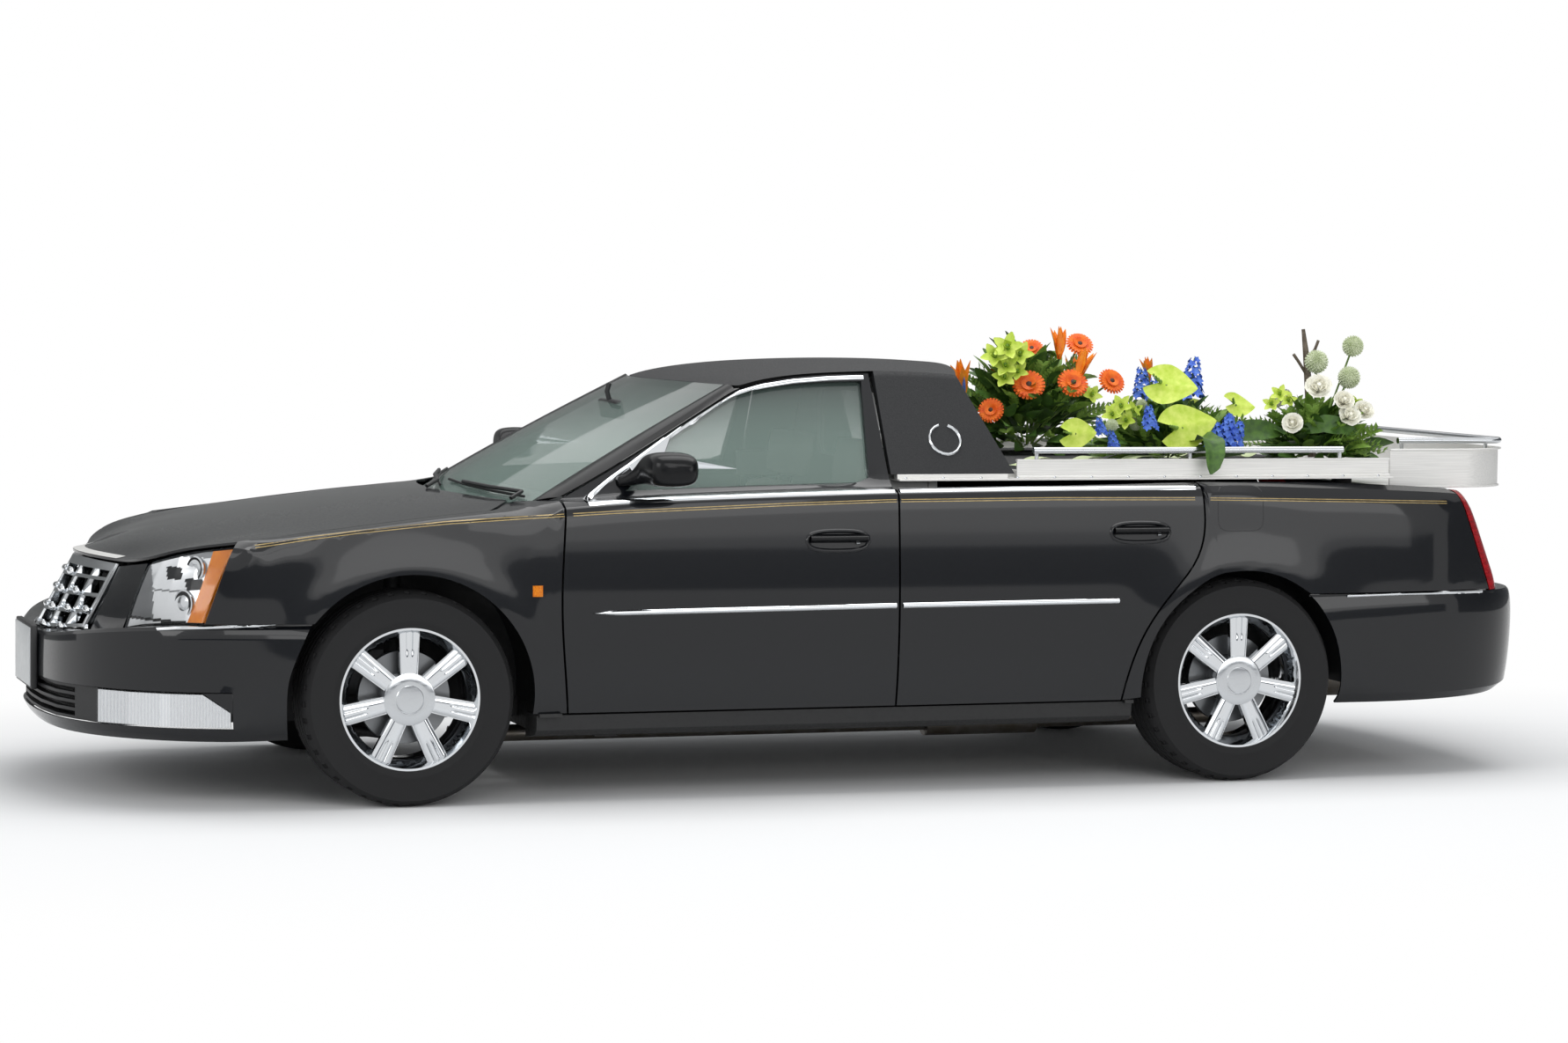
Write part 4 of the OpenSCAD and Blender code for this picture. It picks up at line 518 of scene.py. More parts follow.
bead, sideWall, treadRadius = tyre["bead"], -tyre["half"], tyre["radius"]
tyreProfile = [(bead + 1, sideWall + 14), (bead + 4, sideWall + 6), (bead + 22, sideWall - 2),
               (bead + 26, sideWall - 3.5), (bead + 30, sideWall - 2.5), (bead + 62, sideWall - 6),
               (treadRadius - 26, sideWall - 3), (treadRadius - 22, sideWall - 4), (treadRadius - 10, sideWall + 12),
               (treadRadius - 3, sideWall + 26)]
halfProfile = len(tyreProfile)
for groove in tyre["grooves"]:
    for offset, drop in ((-0.5, 0), (-0.4, 1), (0.4, 1), (0.5, 0)):
        tyreProfile.append((treadRadius - 1 - drop * tyre["grooveDepth"], groove + offset * tyre["grooveWidth"]))
tyreProfile += [(r, -t) for r, t in reversed(tyreProfile[:halfProfile])]
for corner in wheelCorners:
    end, sideName = corner.split("_")
    side = sides[sideName]
    wheelBody = f"{end}_wheel_{sideName}_body"
    low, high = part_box("tyre_" + corner)
    centre = (low + high) / 2
    outward = Vector((0, side, 0))
    bm = bmesh.new()
    spunPiece(bm, tyreProfile, centre, outward, Vector((0, 0, 1)), tyre["steps"])
    faceOut(bm)
    sipes = []  # every third facet of the tread's shoulders is pressed in
    for f in bm.faces:
        reach = f.calc_center_median() - centre
        if abs(reach.y) > tyre["sipeFrom"] / 1000 and reach.xz.length > (treadRadius - tyre["sipeBand"]) / 1000:
            if int(math.degrees(math.atan2(reach.z, reach.x)) // tyre["sipePitch"]) % 3 == 0:
                sipes.append(f)
    for f in bmesh.ops.extrude_discrete_faces(bm, faces=sipes)["faces"]:
        bmesh.ops.translate(bm, vec=-f.normal * tyre["sipeDepth"] / 1000, verts=f.verts)
    tread = finishPiece("tyre_tread_" + corner, bm, tyreRubber, wheelBody, softAngle=40)
    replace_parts(tread, "tyre_" + corner)

    bm = bmesh.new()  # broad plain cap with a turned ring
    spunPiece(bm, hub["cap"], centre, outward, Vector((0, 0, 1)), hub["steps"])
    faceOut(bm)
    finishPiece("hub_cap_" + corner, bm, stainless, wheelBody)

    bm = bmesh.new()  # crowned spoke faces with two grooves at their outer ends
    first, last = spokes["reach"]
    for k in range(spokes["count"]):
        turn = Matrix.Rotation(2 * math.pi * k / spokes["count"], 4, "Y")
        for v in bmesh.ops.create_grid(bm, x_segments=16, y_segments=24, size=1)["verts"]:
            share, across = (v.co.x + 1) / 2, v.co.y
            radius = first + share * (last - first)
            half = spokes["halves"][0] + share * (spokes["halves"][1] - spokes["halves"][0])
            sunk = sum(math.exp(-((across - s * spokes["grooveAt"]) / spokes["grooveWidth"]) ** 2) for s in (-1, 1))
            sunk *= min(1, max(0, (radius - spokes["grooveFrom"]) / 10))
            height = spokes["face"] + spokes["crown"] * (1 - across ** 4) - spokes["grooveDepth"] * sunk
            v.co = centre + turn @ Vector((across * half, side * height, radius)) / 1000
    for f in bm.faces:
        f.normal_update()
        if f.normal.y * side < 0:
            f.normal_flip()
    finishPiece("spoke_faces_" + corner, bm, chromePlate, wheelBody, softAngle=60)

    bm = bmesh.new()  # brake disc behind the spokes
    spunPiece(bm, hub["disc"], centre + outward * hub["discOut"] / 1000, outward, Vector((0, 0, 1)), hub["steps"])
    faceOut(bm)
    finishPiece("brake_disc_" + corner, bm, groundIron, wheelBody)
print("wheels done")

# Lamps: clear lenses over bright inner bodies

lampFacts = {"inset": 9, "amberPlane": (spot(-672, 0, 690), Vector((0.93, 0, -0.36))), "projector": (-715, 760, 662),
             "bowl": (-665, 750, 772),
             "ball": [(0.01, 7), (14, 6), (27, 1), (29, -2), (40, 2), (45, 1), (46, -4), (44, -12)],
             "dish": [(0.01, -2), (14, -1), (16, 1), (30, 3), (38, 4), (42, 0), (40, -10)], "collar": (0.6, 0.86),
             "dark": [(-752, -712, 736, 776), (-704, -655, 706, 742), (-900, -560, 596, 606)],
             "satin": [(-900, -790, 596, 830), (-760, -560, 808, 840), (-790, -700, 696, 702)]}


def innerBody(node, insetMm):  # the lens solid drawn in, so a bright wall shows behind the clear one
    bm = mergedCopy(node)
    bm.normal_update()
    moves = [(v, v.normal * insetMm / 1000) for v in bm.verts]
    for v, move in moves:
        v.co -= move
    return bm


bm = innerBody("head_lamps", lampFacts["inset"])
planeAt, planeOut = lampFacts["amberPlane"]
bmesh.ops.bisect_plane(bm, geom=bm.verts[:] + bm.edges[:] + bm.faces[:], plane_co=planeAt, plane_no=planeOut)
bmesh.ops.subdivide_edges(bm, edges=bm.edges[:], cuts=9, use_grid_fill=True)
bm.normal_update()
for f in bm.faces:  # amber outer band, dark and satin zones of the moulded reflector, dark back
    centre = f.calc_center_median()
    x, z = (centre.x - frontAxle) * 1000, centre.z * 1000
    if f.normal.dot(Vector((-0.5, math.copysign(0.8, centre.y), 0.2))) <= 0:
        f.material_index = 2
    elif (centre - planeAt).dot(planeOut) > 0:
        f.material_index = 1
    elif any(x0 < x < x1 and z0 < z < z1 for x0, x1, z0, z1 in lampFacts["dark"]):
        f.material_index = 2
    elif any(x0 < x < x1 and z0 < z < z1 for x0, x1, z0, z1 in lampFacts["satin"]):
        f.material_index = 3
# Aluminised lamp bowl: pale silver with a soft sheen
silveredBowl = newMaterial("aluminisedReflector", "#e0e2e4", {"Metallic": 0.55, "Roughness": 0.2})
reflectors = finishPiece("head_lamp_reflectors", bm, [silveredBowl, amberLens, glossPlastic, castAlloy], "car_body")
reflectorSurface = surfaceOf(reflectors)
dressNode("head_lamps", lampClear, levels=2, softAngle=50)
for sideName, side in sides.items():
    aim = Vector((-0.86, side * 0.5, 0.05)).normalized()
    flat = aim.cross(Vector((0, 0, 1))).normalized()
    for lampName, (x, y, z), profile in (("projector_lamp_", lampFacts["projector"], lampFacts["ball"]),
                                         ("main_bowl_", lampFacts["bowl"], lampFacts["dish"])):
        wall = reflectorSurface.ray_cast(spot(x, side * y, z) + aim * 0.6, -aim)[0]
        bm = bmesh.new()
        spunPiece(bm, profile, wall, aim, flat, 36)
        faceOut(bm)
        for f in bm.faces:  # a dark collar round the bright middle
            share = (f.calc_center_median() - wall).cross(aim).length * 1000 / max(r for r, _ in profile)
            f.material_index = int(lampFacts["collar"][0] < share < lampFacts["collar"][1])
        finishPiece(lampName + sideName, bm, [stainless, glossPlastic], "car_body")
# Pressed reflector behind a ribbed lens: bright, with upright flutes
ribbedReflector = newMaterial("flutedReflector", "#c6c9cc", {"Metallic": 0.7, "Roughness": 0.3})
addGrain(ribbedReflector, 30, 0.12, roughness=(0.24, 0.34), kind="Wave", colours=("#d2d5d8", "#dcdee0"))
finishPiece("fog_lamp_reflectors", innerBody("fog_lamps", 6), ribbedReflector, "car_body")
fogCorner = {"outline": [(-668, 853, 381), (-576, 884, 381), (-576, 884, 318)], "depth": (12, 24)}
for sideName, side in sides.items():
    bm = bmesh.new()  # painted corner over the lamp's cut-off end
    outerFace = bm.faces.new([bm.verts.new(spot(x, side * y, z)) for x, y, z in fogCorner["outline"]])
    bmesh.ops.extrude_face_region(bm, geom=[outerFace])
    inward = Vector((fogCorner["depth"][0], -side * fogCorner["depth"][1], 0)) / 1000
    bmesh.ops.translate(bm, verts=bm.verts[3:], vec=inward)
    faceOut(bm)
    finishPiece(f"fog_lamp_corner_{sideName}", bm, blackEnamel, "car_body", bevelMm=1)
dressNode("fog_lamps", lampClear, levels=1, softAngle=50)
dressNode("tail_lamps", redLens, levels=1, softAngle=40)
print("lamps done")

# Front trim

grilleSurface = surfaceOf(skins["grille"])
header = {"half": 340, "depth": 40, "lift": 1.2, "lowest": 735, "tries": 40, "step": 3}
bm = gridMesh(40, 5)
for v in bm.verts:
    y = v.co.x * header["half"]
    rear = (v.co.y + 1) / 2 * header["depth"] * (1 - 0.2 * abs(v.co.x) ** 3)
    tries = [surfaces["bonnet"].ray_cast(spot(-1500, y, header["lowest"] + k * header["step"]), Vector((1, 0, 0)))[0]
             for k in range(header["tries"])]
    edge = min((hit for hit in tries if hit is not None), key=lambda hit: hit.x)  # the bonnet's foremost point here
    hit, normal, _, _ = surfaces["bonnet"].ray_cast(edge + Vector((rear / 1000 + 0.0005, 0, 0.3)), Vector((0, 0, -1)))
    v.co = hit + normal * header["lift"] / 1000
faceOut(bm, Vector((-1, 0, 0)))
finishPiece("bonnet_header_strip", bm, brushedAluminium, "bonnet_body", softAngle=60)

crate = {"cols": 3, "rows": 4, "half": 330, "low": 536.6, "high": 772, "foot": 0.14, "dip": 8, "behind": -720,
         "lipWidth": 92, "lipHeight": 15, "lipReach": 14}
bm = bmesh.new()  # bright domed lips at the foot of each opening
for row in range(crate["rows"]):
    for col in range(2 * crate["cols"]):
        share = (col + 0.5) / crate["cols"] - 1
        rise = (row + crate["foot"]) * (crate["high"] - crate["low"]) / crate["rows"]
        y, z = share * crate["half"], crate["low"] + rise + crate["dip"] * share ** 2
        hit, _, _, _ = grilleSurface.ray_cast(spot(-1500, y, z - 6), Vector((1, 0, 0)))
        if hit is None or hit.x > frontAxle + crate["behind"] / 1000:
            continue
        made = bmesh.ops.create_icosphere(bm, subdivisions=2, radius=1)["verts"]
        lip = Matrix.Diagonal((crate["lipReach"] / 1000, crate["lipWidth"] / 2000, crate["lipHeight"] / 1000, 1))
        bmesh.ops.transform(bm, verts=made, matrix=Matrix.Translation(hit + Vector((0.004, 0, 0.003))) @ lip)
finishPiece("grille_lips", bm, chromePlate, "car_body", softAngle=80)

intake = {"middle": -1043, "sweep": 128, "bow": 2.6, "half": 598, "low": 264, "high": 388, "thick": 4}
bm = gridMesh(32, 2)  # dark screen behind the lower bars
for v in bm.verts:
    z = intake["low"] + (v.co.y + 1) / 2 * (intake["high"] - intake["low"])
    v.co = spot(intake["middle"] + intake["sweep"] * abs(v.co.x) ** intake["bow"], v.co.x * intake["half"], z)
bmesh.ops.solidify(bm, geom=bm.faces[:], thickness=intake["thick"] / 1000)
faceOut(bm)
finishPiece("intake_screen", bm, blackPlastic, "car_body", softAngle=40)

lampFoot = [(-800, 583), (-745, 588), (-587, 595), (-440, 601)]
sideMarker = [(412, 682), (412, 718)]
for sideName, side in sides.items():
    layStrip(f"lamp_foot_strip_{sideName}", "front_bumper", side, lampFoot, 9, 5, chromePlate)
    layStrip(f"side_marker_{sideName}", f"fender_{sideName}", side, sideMarker, 34, 6, amberLens)


# An oval or round-cornered outline in side view, open at its top by a gap
def closedLine(x, z, halfX, halfZ, power=1.0, count=36, gap=0):
    line = []
    for k in range(count + 1):
        a = math.pi / 2 + gap / 2 + (2 * math.pi - gap) * k / count
        c, s = math.cos(a), math.sin(a)
        line.append((x + halfX * math.copysign(abs(c) ** power, c), z + halfZ * math.copysign(abs(s) ** power, s)))
    return line


handle = {"front_door": (1442, 854), "rear_door": (2536, 871), "half": (108, 33), "bar": 30}
ring = {"place": (1885, 1183), "half": (56, 49), "width": 11, "crown": 7, "gap": 0.62}
fuelDoor = {"place": (2915, 950), "half": (86, 78)}
for sideName, side in sides.items():
    for node in ("front_door", "rear_door"):
        x, z = handle[node]
        panel = f"{node}_{sideName}"
        halfX, halfZ = handle["half"]
        layStrip(f"handle_dish_{panel}", panel, side, [(x - halfX + 14, z - 3), (x + halfX - 14, z - 3)],
                 2 * halfZ - 14, 0, blackPlastic, liftMm=1, across=6)
        layStrip(f"handle_ring_{panel}", panel, side, closedLine(x, z, halfX, halfZ, 0.7), 15, 7, blackEnamel)
        layStrip(f"handle_bar_{panel}", panel, side, [(x - halfX + 8, z + 8), (x + halfX - 8, z + 8)],
                 handle["bar"], 22, glossPlastic, across=8)
        layStrip(f"handle_lock_{panel}", panel, side, [(x + 62, z - 8), (x + 74, z - 8)], 12, 8, chromePlate)
    ringLine = closedLine(*ring["place"], *ring["half"], gap=ring["gap"])
    layStrip(f"sail_ring_{sideName}", "roof", side, ringLine, ring["width"], ring["crown"], chromePlate)
fuelLine = closedLine(*fuelDoor["place"], *fuelDoor["half"], 0.35, 64)
layStrip("fuel_door_line", "quarter_left", -1, fuelLine, 3, 0, blackPlastic, liftMm=0.3, across=1)
print("handles and rings done")


# A block with rounded edges, from its corners in millimetres, turned about its middle
def roundedBlock(bm, low, high, bevelMm, turn=None):
    a, b = spot(*low), spot(*high)
    middle, size = (a + b) / 2, b - a
    made = bmesh.ops.create_cube(bm, size=1)["verts"]
    bmesh.ops.scale(bm, verts=made, vec=size)
    edges = list({e for v in made for e in v.link_edges})
    bevelled = bmesh.ops.bevel(bm, geom=edges, offset=bevelMm / 1000, affect="EDGES", segments=3, profile=0.5,
                               material=-1)["faces"]
    made = list({v for f in bevelled for v in f.verts} | {v for v in made if v.is_valid})
    bmesh.ops.transform(bm, verts=made, matrix=Matrix.Translation(middle) @ (turn or Matrix.Identity(4)))


noseX = (cadBox[0][0] - frontAxle) * 1000
tailX = (cadBox[1][0] - frontAxle) * 1000
plates = {"front": (noseX - 14, 345, 540, 175), "rear": (tailX - 2, 505, 612, 262)}
plateThick, bracketDepth, bracketRim = 4, 22, 9
for end, (x, low, high, half) in plates.items():
    bm = bmesh.new()
    out = -1 if end == "front" else 1
    face = x + out * plateThick
    roundedBlock(bm, (min(x, face), -half, low), (max(x, face), half, high), 1.5)
    finishPiece(f"{end}_plate_blank", bm, plateBlank, "car_body")
    bm = bmesh.new()
    back = x - out * bracketDepth
    roundedBlock(bm, (min(x, back), -half - bracketRim, low - bracketRim),
                 (max(x, back), half + bracketRim, high + bracketRim), 5)
    finishPiece(f"{end}_plate_bracket", bm, blackPlastic, "car_body")

# Wipers, mirror glass and the mirror inside


def onScreen(y, rise):  # a point on the windscreen at a height above the cowl
    hit, normal, _, _ = surfaces["glazing"].ray_cast(spot(-400, y, rise), Vector((1, 0, 0)))
    return hit, (normal if normal.x < 0 else -normal)


def sweptTube(bm, points, radii, facets=8):  # rings set along a line and bridged
    rings = []
    for k, p in enumerate(points):
        ahead = (points[min(k + 1, len(points) - 1)] - points[max(k - 1, 0)]).normalized()
        made = bmesh.ops.create_circle(bm, segments=facets, radius=radii[k] if isinstance(radii, list) else radii,
                                       cap_ends=k in (0, len(points) - 1))["verts"]
        turn = ahead.to_track_quat("Z", "Y").to_matrix().to_4x4()
        bmesh.ops.transform(bm, verts=made, matrix=Matrix.Translation(p) @ turn)
        rings.append(list({e for v in made for e in v.link_edges}))
    for a, b in zip(rings, rings[1:]):
        bmesh.ops.bridge_loops(bm, edges=a + b)


wiper = {"left": [(-640, 984), (-420, 992), (-180, 1000), (40, 1006)],
         "right": [(40, 987), (250, 998), (440, 1008), (600, 1014)], "blade": 5, "arm": 7, "bladeLift": 9,
         "armLift": 16, "armRise": 12, "pivot": (-45, -30, -20)}
for sideName in sides:
    bm = bmesh.new()
    hits = [onScreen(y, z) for y, z in wiper[sideName]]
    sweptTube(bm, [hit + normal * wiper["bladeLift"] / 1000 for hit, normal in hits], wiper["blade"] / 1000)
    lifts = [wiper["armLift"] + wiper["armRise"] * (1 - k / 3) for k in range(3)]
    arm = [hit + normal * lift / 1000 for (hit, normal), lift in zip(hits, lifts)]
    sweptTube(bm, [arm[0] + Vector(wiper["pivot"]) / 1000] + arm, wiper["arm"] / 1000)
    faceOut(bm)
    finishPiece(f"wiper_{sideName}", bm, blackPlastic, "car_body")

insideMirror = {"place": (905, -60, 1262), "half": (14, 118, 34), "tilt": -12}
bm = bmesh.new()
x, y, z = insideMirror["place"]
halfX, halfY, halfZ = insideMirror["half"]
roundedBlock(bm, (x - halfX, y - halfY, z - halfZ), (x + halfX, y + halfY, z + halfZ), 12,
             Matrix.Rotation(math.radians(insideMirror["tilt"]), 4, "Y"))
sweptTube(bm, [spot(x - 4, y, z + 20), spot(x - 16, y, z + 60), spot(x - 8, y, z + 88)], 0.009)
faceOut(bm)
finishPiece("inside_mirror", bm, blackPlastic, "car_body")

mirrorFace = {"x": 1080, "y": 955, "z": 1096, "half": (66, 42), "from": 1700, "lift": 1.5}
for sideName, side in sides.items():
    mirrorSurface = surfaceOf(skins[f"mirror_{sideName}"])
    middleY = side * mirrorFace["y"]
    bm = gridMesh(10, 8)
    for v in bm.verts:  # a rounded oval cast on to the back of the housing
        a, b = v.co.x, v.co.y
        start = spot(mirrorFace["from"], middleY + a * math.sqrt(1 - b * b / 3) * mirrorFace["half"][0],
                     mirrorFace["z"] + b * math.sqrt(1 - a * a / 3) * mirrorFace["half"][1])
        hit, _, _, _ = mirrorSurface.ray_cast(start, Vector((-1, 0, 0)))
        if hit is None:
            hit = spot(mirrorFace["x"], middleY, mirrorFace["z"])
        v.co = hit + Vector((mirrorFace["lift"] / 1000, 0, 0))
    faceOut(bm, Vector((1, 0, 0)))
    finishPiece(f"mirror_glass_{sideName}", bm, mirrorGlass, bodyOf[f"mirror_{sideName}"])
print("front trim, wipers and mirrors done")

# Seats: crowned pads with sewn channels, one set on each side

seatPads = {"cushion": {"size": (530, 520, 150), "place": (1275, 370, 420), "tilt": 4, "crown": 20, "channels": 3},
            "back": {"size": (140, 510, 560), "place": (1602, 370, 715), "tilt": 17, "crown": 22, "channels": 3},
            "head": {"size": (88, 280, 165), "place": (1706, 370, 1086), "tilt": 8, "crown": 12, "channels": 0}}
padRound, seamDepth, seamWidth = 0.05, 0.012, 0.07
seatBase = {"x": (1040, 1480), "z": (232, 345), "middle": 370, "half": 245, "posts": (-70, 70),
            "post": [(1676, 950), (1698, 1045)], "postRadius": 7}
cornerLining = {"x": (1622, 1829), "z": (984, 1078), "middle": 744, "half": 4}


def padForm(bm, size, place, tilt, crown, channels, faceAxis):
    bmesh.ops.create_cube(bm, size=2)
    bmesh.ops.subdivide_edges(bm, edges=bm.edges[:], cuts=9, use_grid_fill=True)
    half = Vector(size) / 2000
    for v in bm.verts:
        a = v.co.copy()
        others = [a[k] ** 2 for k in range(3) if k != faceAxis]
        pull = 1 - padRound * (a.x ** 2 + a.y ** 2 + a.z ** 2 - max(a.x ** 2, a.y ** 2, a.z ** 2))
        v.co = Vector((a.x * half.x * pull, a.y * half.y * pull, a.z * half.z * pull))
        swell = crown / 1000 * (1 - others[0]) * (1 - others[1])
        front = 1 if faceAxis == 2 else -1
        if a[faceAxis] * front > 0.99:
            v.co[faceAxis] += front * swell
            for c in range(channels):
                line = (c + 1) / (channels + 1) * 2 - 1
                v.co[faceAxis] -= front * seamDepth * math.exp(-((a.y - line) / seamWidth) ** 2)
    turn = Matrix.Rotation(math.radians(tilt), 4, "Y")
    bmesh.ops.transform(bm, verts=bm.verts, matrix=Matrix.Translation(spot(*place)) @ turn)


for sideName, side in sides.items():
    for padName, facts in seatPads.items():
        bm = bmesh.new()
        x, y, z = facts["place"]
        padForm(bm, facts["size"], (x, side * y, z), facts["tilt"], facts["crown"], facts["channels"],
                2 if padName == "cushion" else 0)
        pad = finishPiece(f"seat_{padName}_{sideName}", bm, seatLeather, "car_body", levels=1,
                          softAngle=80)
        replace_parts(pad, "seats")
    bm = bmesh.new()  # base box and head rest posts
    y = side * seatBase["middle"]
    (x0, x1), (z0, z1) = seatBase["x"], seatBase["z"]
    roundedBlock(bm, (x0, y - seatBase["half"], z0), (x1, y + seatBase["half"], z1), 12)
    for offset in seatBase["posts"]:
        sweptTube(bm, [spot(x, y + offset, z) for x, z in seatBase["post"]], seatBase["postRadius"] / 1000)
    faceOut(bm)
    finishPiece(f"seat_base_{sideName}", bm, dashPlastic, "car_body")
    bm = bmesh.new()  # lining that closes the corner between door post and bulkhead
    y = side * cornerLining["middle"]
    (x0, x1), (z0, z1) = cornerLining["x"], cornerLining["z"]
    roundedBlock(bm, (x0, y - cornerLining["half"], z0), (x1, y + cornerLining["half"], z1), 2)
    finishPiece(f"cab_corner_lining_{sideName}", bm, liningCloth, "car_body")
print("seats done")

# Flower deck: diamond mesh over the tray, screws along the tray's foot

deckMesh = {"diamond": (58, 34), "wire": 2.6, "sunk": 4}
low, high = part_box("deck_mesh")
deckSolid = surfaceOf(frame["nodes"]["deck_mesh"])
spanX, spanY = high.x - low.x, high.y - low.y
dx, dy = (d / 2000 for d in deckMesh["diamond"])
cells = int(spanX / dx + spanY / dy) // 2 + 2
bm = gridMesh(cells, cells, cells / 2)
for v in bm.verts:  # a square net turned on its corner, then drawn to the diamond's size
    v.co = (Vector(((v.co.x + v.co.y) * dx, (v.co.x - v.co.y) * dy, 0))
            + Vector(((low.x + high.x) / 2, 0, high.z - deckMesh["sunk"] / 1000)))
offDeck = {v for v in bm.verts if deckSolid.ray_cast(v.co + Vector((0, 0, 1)), Vector((0, 0, -1)))[0] is None}
outside = [f for f in bm.faces if offDeck.intersection(f.verts)]
bmesh.ops.delete(bm, geom=outside, context="FACES")
bmesh.ops.wireframe(bm, faces=bm.faces[:], thickness=deckMesh["wire"] / 1000, use_replace=True, use_boundary=True,
                    use_even_offset=True)
faceOut(bm)
netting = finishPiece("deck_netting", bm, meshSteel, "car_body")
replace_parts(netting, "deck_mesh")

traySurface = surfaceOf(skins["flower_tray"])
trayScrews = {"count": 14, "first": 1720, "pitch": 136, "height": 1054, "radius": 6}
bm = bmesh.new()
for side in sides.values():
    for k in range(trayScrews["count"]):
        start = spot(trayScrews["first"] + k * trayScrews["pitch"], side * 2500, trayScrews["height"])
        hit, _, _, _ = traySurface.ray_cast(start, Vector((0, -side, 0)))
        if hit is None:
            continue
        made = bmesh.ops.create_icosphere(bm, subdivisions=1, radius=trayScrews["radius"] / 1000)["verts"]
        bmesh.ops.transform(bm, verts=made, matrix=Matrix.Translation(hit) @ Matrix.Diagonal((1, 0.5, 1, 1)))
finishPiece("tray_screws", bm, stainless, "car_body")
print("deck done")

# Flowers: small blooms made once, then set into three bouquets

petalPaints = {"leafDark": ("#31501f", "#50732e"), "leafFresh": ("#5f8230", "#86a648"), "stem": ("#55702e", "#6f8a3e"),
               "orange": ("#e2520c", "#f57a1a"), "flame": ("#e87410", "#f79a26"), "eye": ("#2a1710", "#4a2a14"),
               "lime": ("#b4cf3e", "#d3e26c"), "blue": ("#2c52c4", "#6a92e8"), "white": ("#ece9d8", "#fbfaf0"),
               "allium": ("#b9c49c", "#dfe5cb"), "bark": ("#4a3f34", "#7d7264"), "ribbon": ("#b9c694", "#cfd9b0")}
palette = []
for name, colours in petalPaints.items():  # soft, slightly waxy petals and leaves with uneven colour
    material = newMaterial(name + "Petal", colours[1], {"Roughness": 0.5, "Specular IOR Level": 0.35})
    palette.append(addGrain(material, 25, 0.3, roughness=(0.42, 0.6), colours=colours))
paintIndex = {name: k for k, name in enumerate(petalPaints)}


def paintFaces(verts, paint):
    for f in {f for v in verts for f in v.link_faces}:
        f.material_index = paintIndex[paint]


# A blade along +X from the origin: half width by share of its length, a fold on the middle and a curl
def addBlade(bm, length, width, paint, curl, fold, steps, point, turn=None, tip=0.985):
    made = bmesh.ops.create_grid(bm, x_segments=steps, y_segments=2, size=1)["verts"]
    for v in made:
        share = (v.co.x + 1) / 2
        half = width / 2 * math.sin(math.pi * min(tip, 0.12 + 0.88 * share)) ** point
        side = v.co.y
        v.co = Vector((share * length, side * half, abs(side) * half * fold * 2 - curl * length * share ** 2))
    if turn is not None:
        bmesh.ops.transform(bm, verts=made, matrix=turn)
    paintFaces(made, paint)


def addDome(bm, radius, height, paint, place):
    made = bmesh.ops.create_uvsphere(bm, u_segments=10, v_segments=6, radius=1)["verts"]
    bmesh.ops.transform(bm, verts=made, matrix=Matrix.Translation(place) @ Matrix.Diagonal((radius, radius, height, 1)))
    paintFaces(made, paint)


def bloomMesh(name, build):
    bm = bmesh.new()
    build(bm)
    return meshFrom(name, bm)


def ringTurn(k, count, lean, lift=0, offset=0):
    return (Matrix.Rotation(2 * math.pi * (k + offset) / count, 4, "Z") @ Matrix.Translation((0, 0, lift))
            @ Matrix.Rotation(-lean, 4, "Y"))


def buildGerbera(bm):  # three rows of blunt petals round a dark eye
    for row, (count, length, lean) in enumerate(((24, 1.0, 0.1), (22, 0.88, 0.24), (16, 0.5, 0.5))):
        for k in range(count):
            addBlade(bm, length, 0.28, "orange", 0.12, 0.1, 4, 0.4, ringTurn(k, count, lean, 0.03 * row, row / 2), 0.93)
    addDome(bm, 0.24, 0.12, "eye", (0, 0, 0.08))


def buildRose(bm):  # cupped rows, the outer one turned back
    rows = ((6, 0.92, 1.0, 0.7), (5, 0.86, 0.95, 1.0), (4, 0.8, 0.85, 1.25), (3, 0.74, 0.6, 1.45))
    for row, (count, length, width, lean) in enumerate(rows):
        for k in range(count):
            turn = ringTurn(k, count, lean, 0, row * 0.4)
            addBlade(bm, length, width, "white", 0.2 - 0.16 * row, 0.2, 5, 0.35, turn, 0.88)
    addDome(bm, 0.26, 0.4, "white", (0, 0, 0.38))


def buildOrchid(bm):
    for k in range(5):
        addBlade(bm, 1.0, 0.62, "lime", 0.1, 0.12, 4, 0.6, ringTurn(k, 5, 0.5))
    for k in range(3):
        addBlade(bm, 0.6, 0.5, "lime", -0.1, 0.3, 3, 0.6, ringTurn(k, 3, 1.0, 0.1))
    addDome(bm, 0.14, 0.3, "leafFresh", (0, 0, 0.2))


def buildAnthurium(bm):  # a waxy heart with its spike
    made = bmesh.ops.create_grid(bm, x_segments=10, y_segments=10, size=1)["verts"]
    for v in made:
        x, y = v.co.x, v.co.y
        u, w = x * math.sqrt(1 - y * y / 2), y * math.sqrt(1 - x * x / 2)
        notch = max(0, -u) * max(0, 1 - abs(w) * 2.4)
        reach = 1 - 0.85 * notch + 0.3 * max(0, u) ** 3 * (1 - abs(w))
        v.co = Vector((u * reach, w * (0.95 - 0.2 * max(0, u)), 0.16 * (u * u + w * w) - 0.16 * abs(w) ** 0.7))
    paintFaces(made, "lime")
    for k in range(4):
        addDome(bm, 0.085 - 0.012 * k, 0.13, "leafFresh", (-0.25 - 0.1 * k, 0, 0.12 + 0.14 * k))


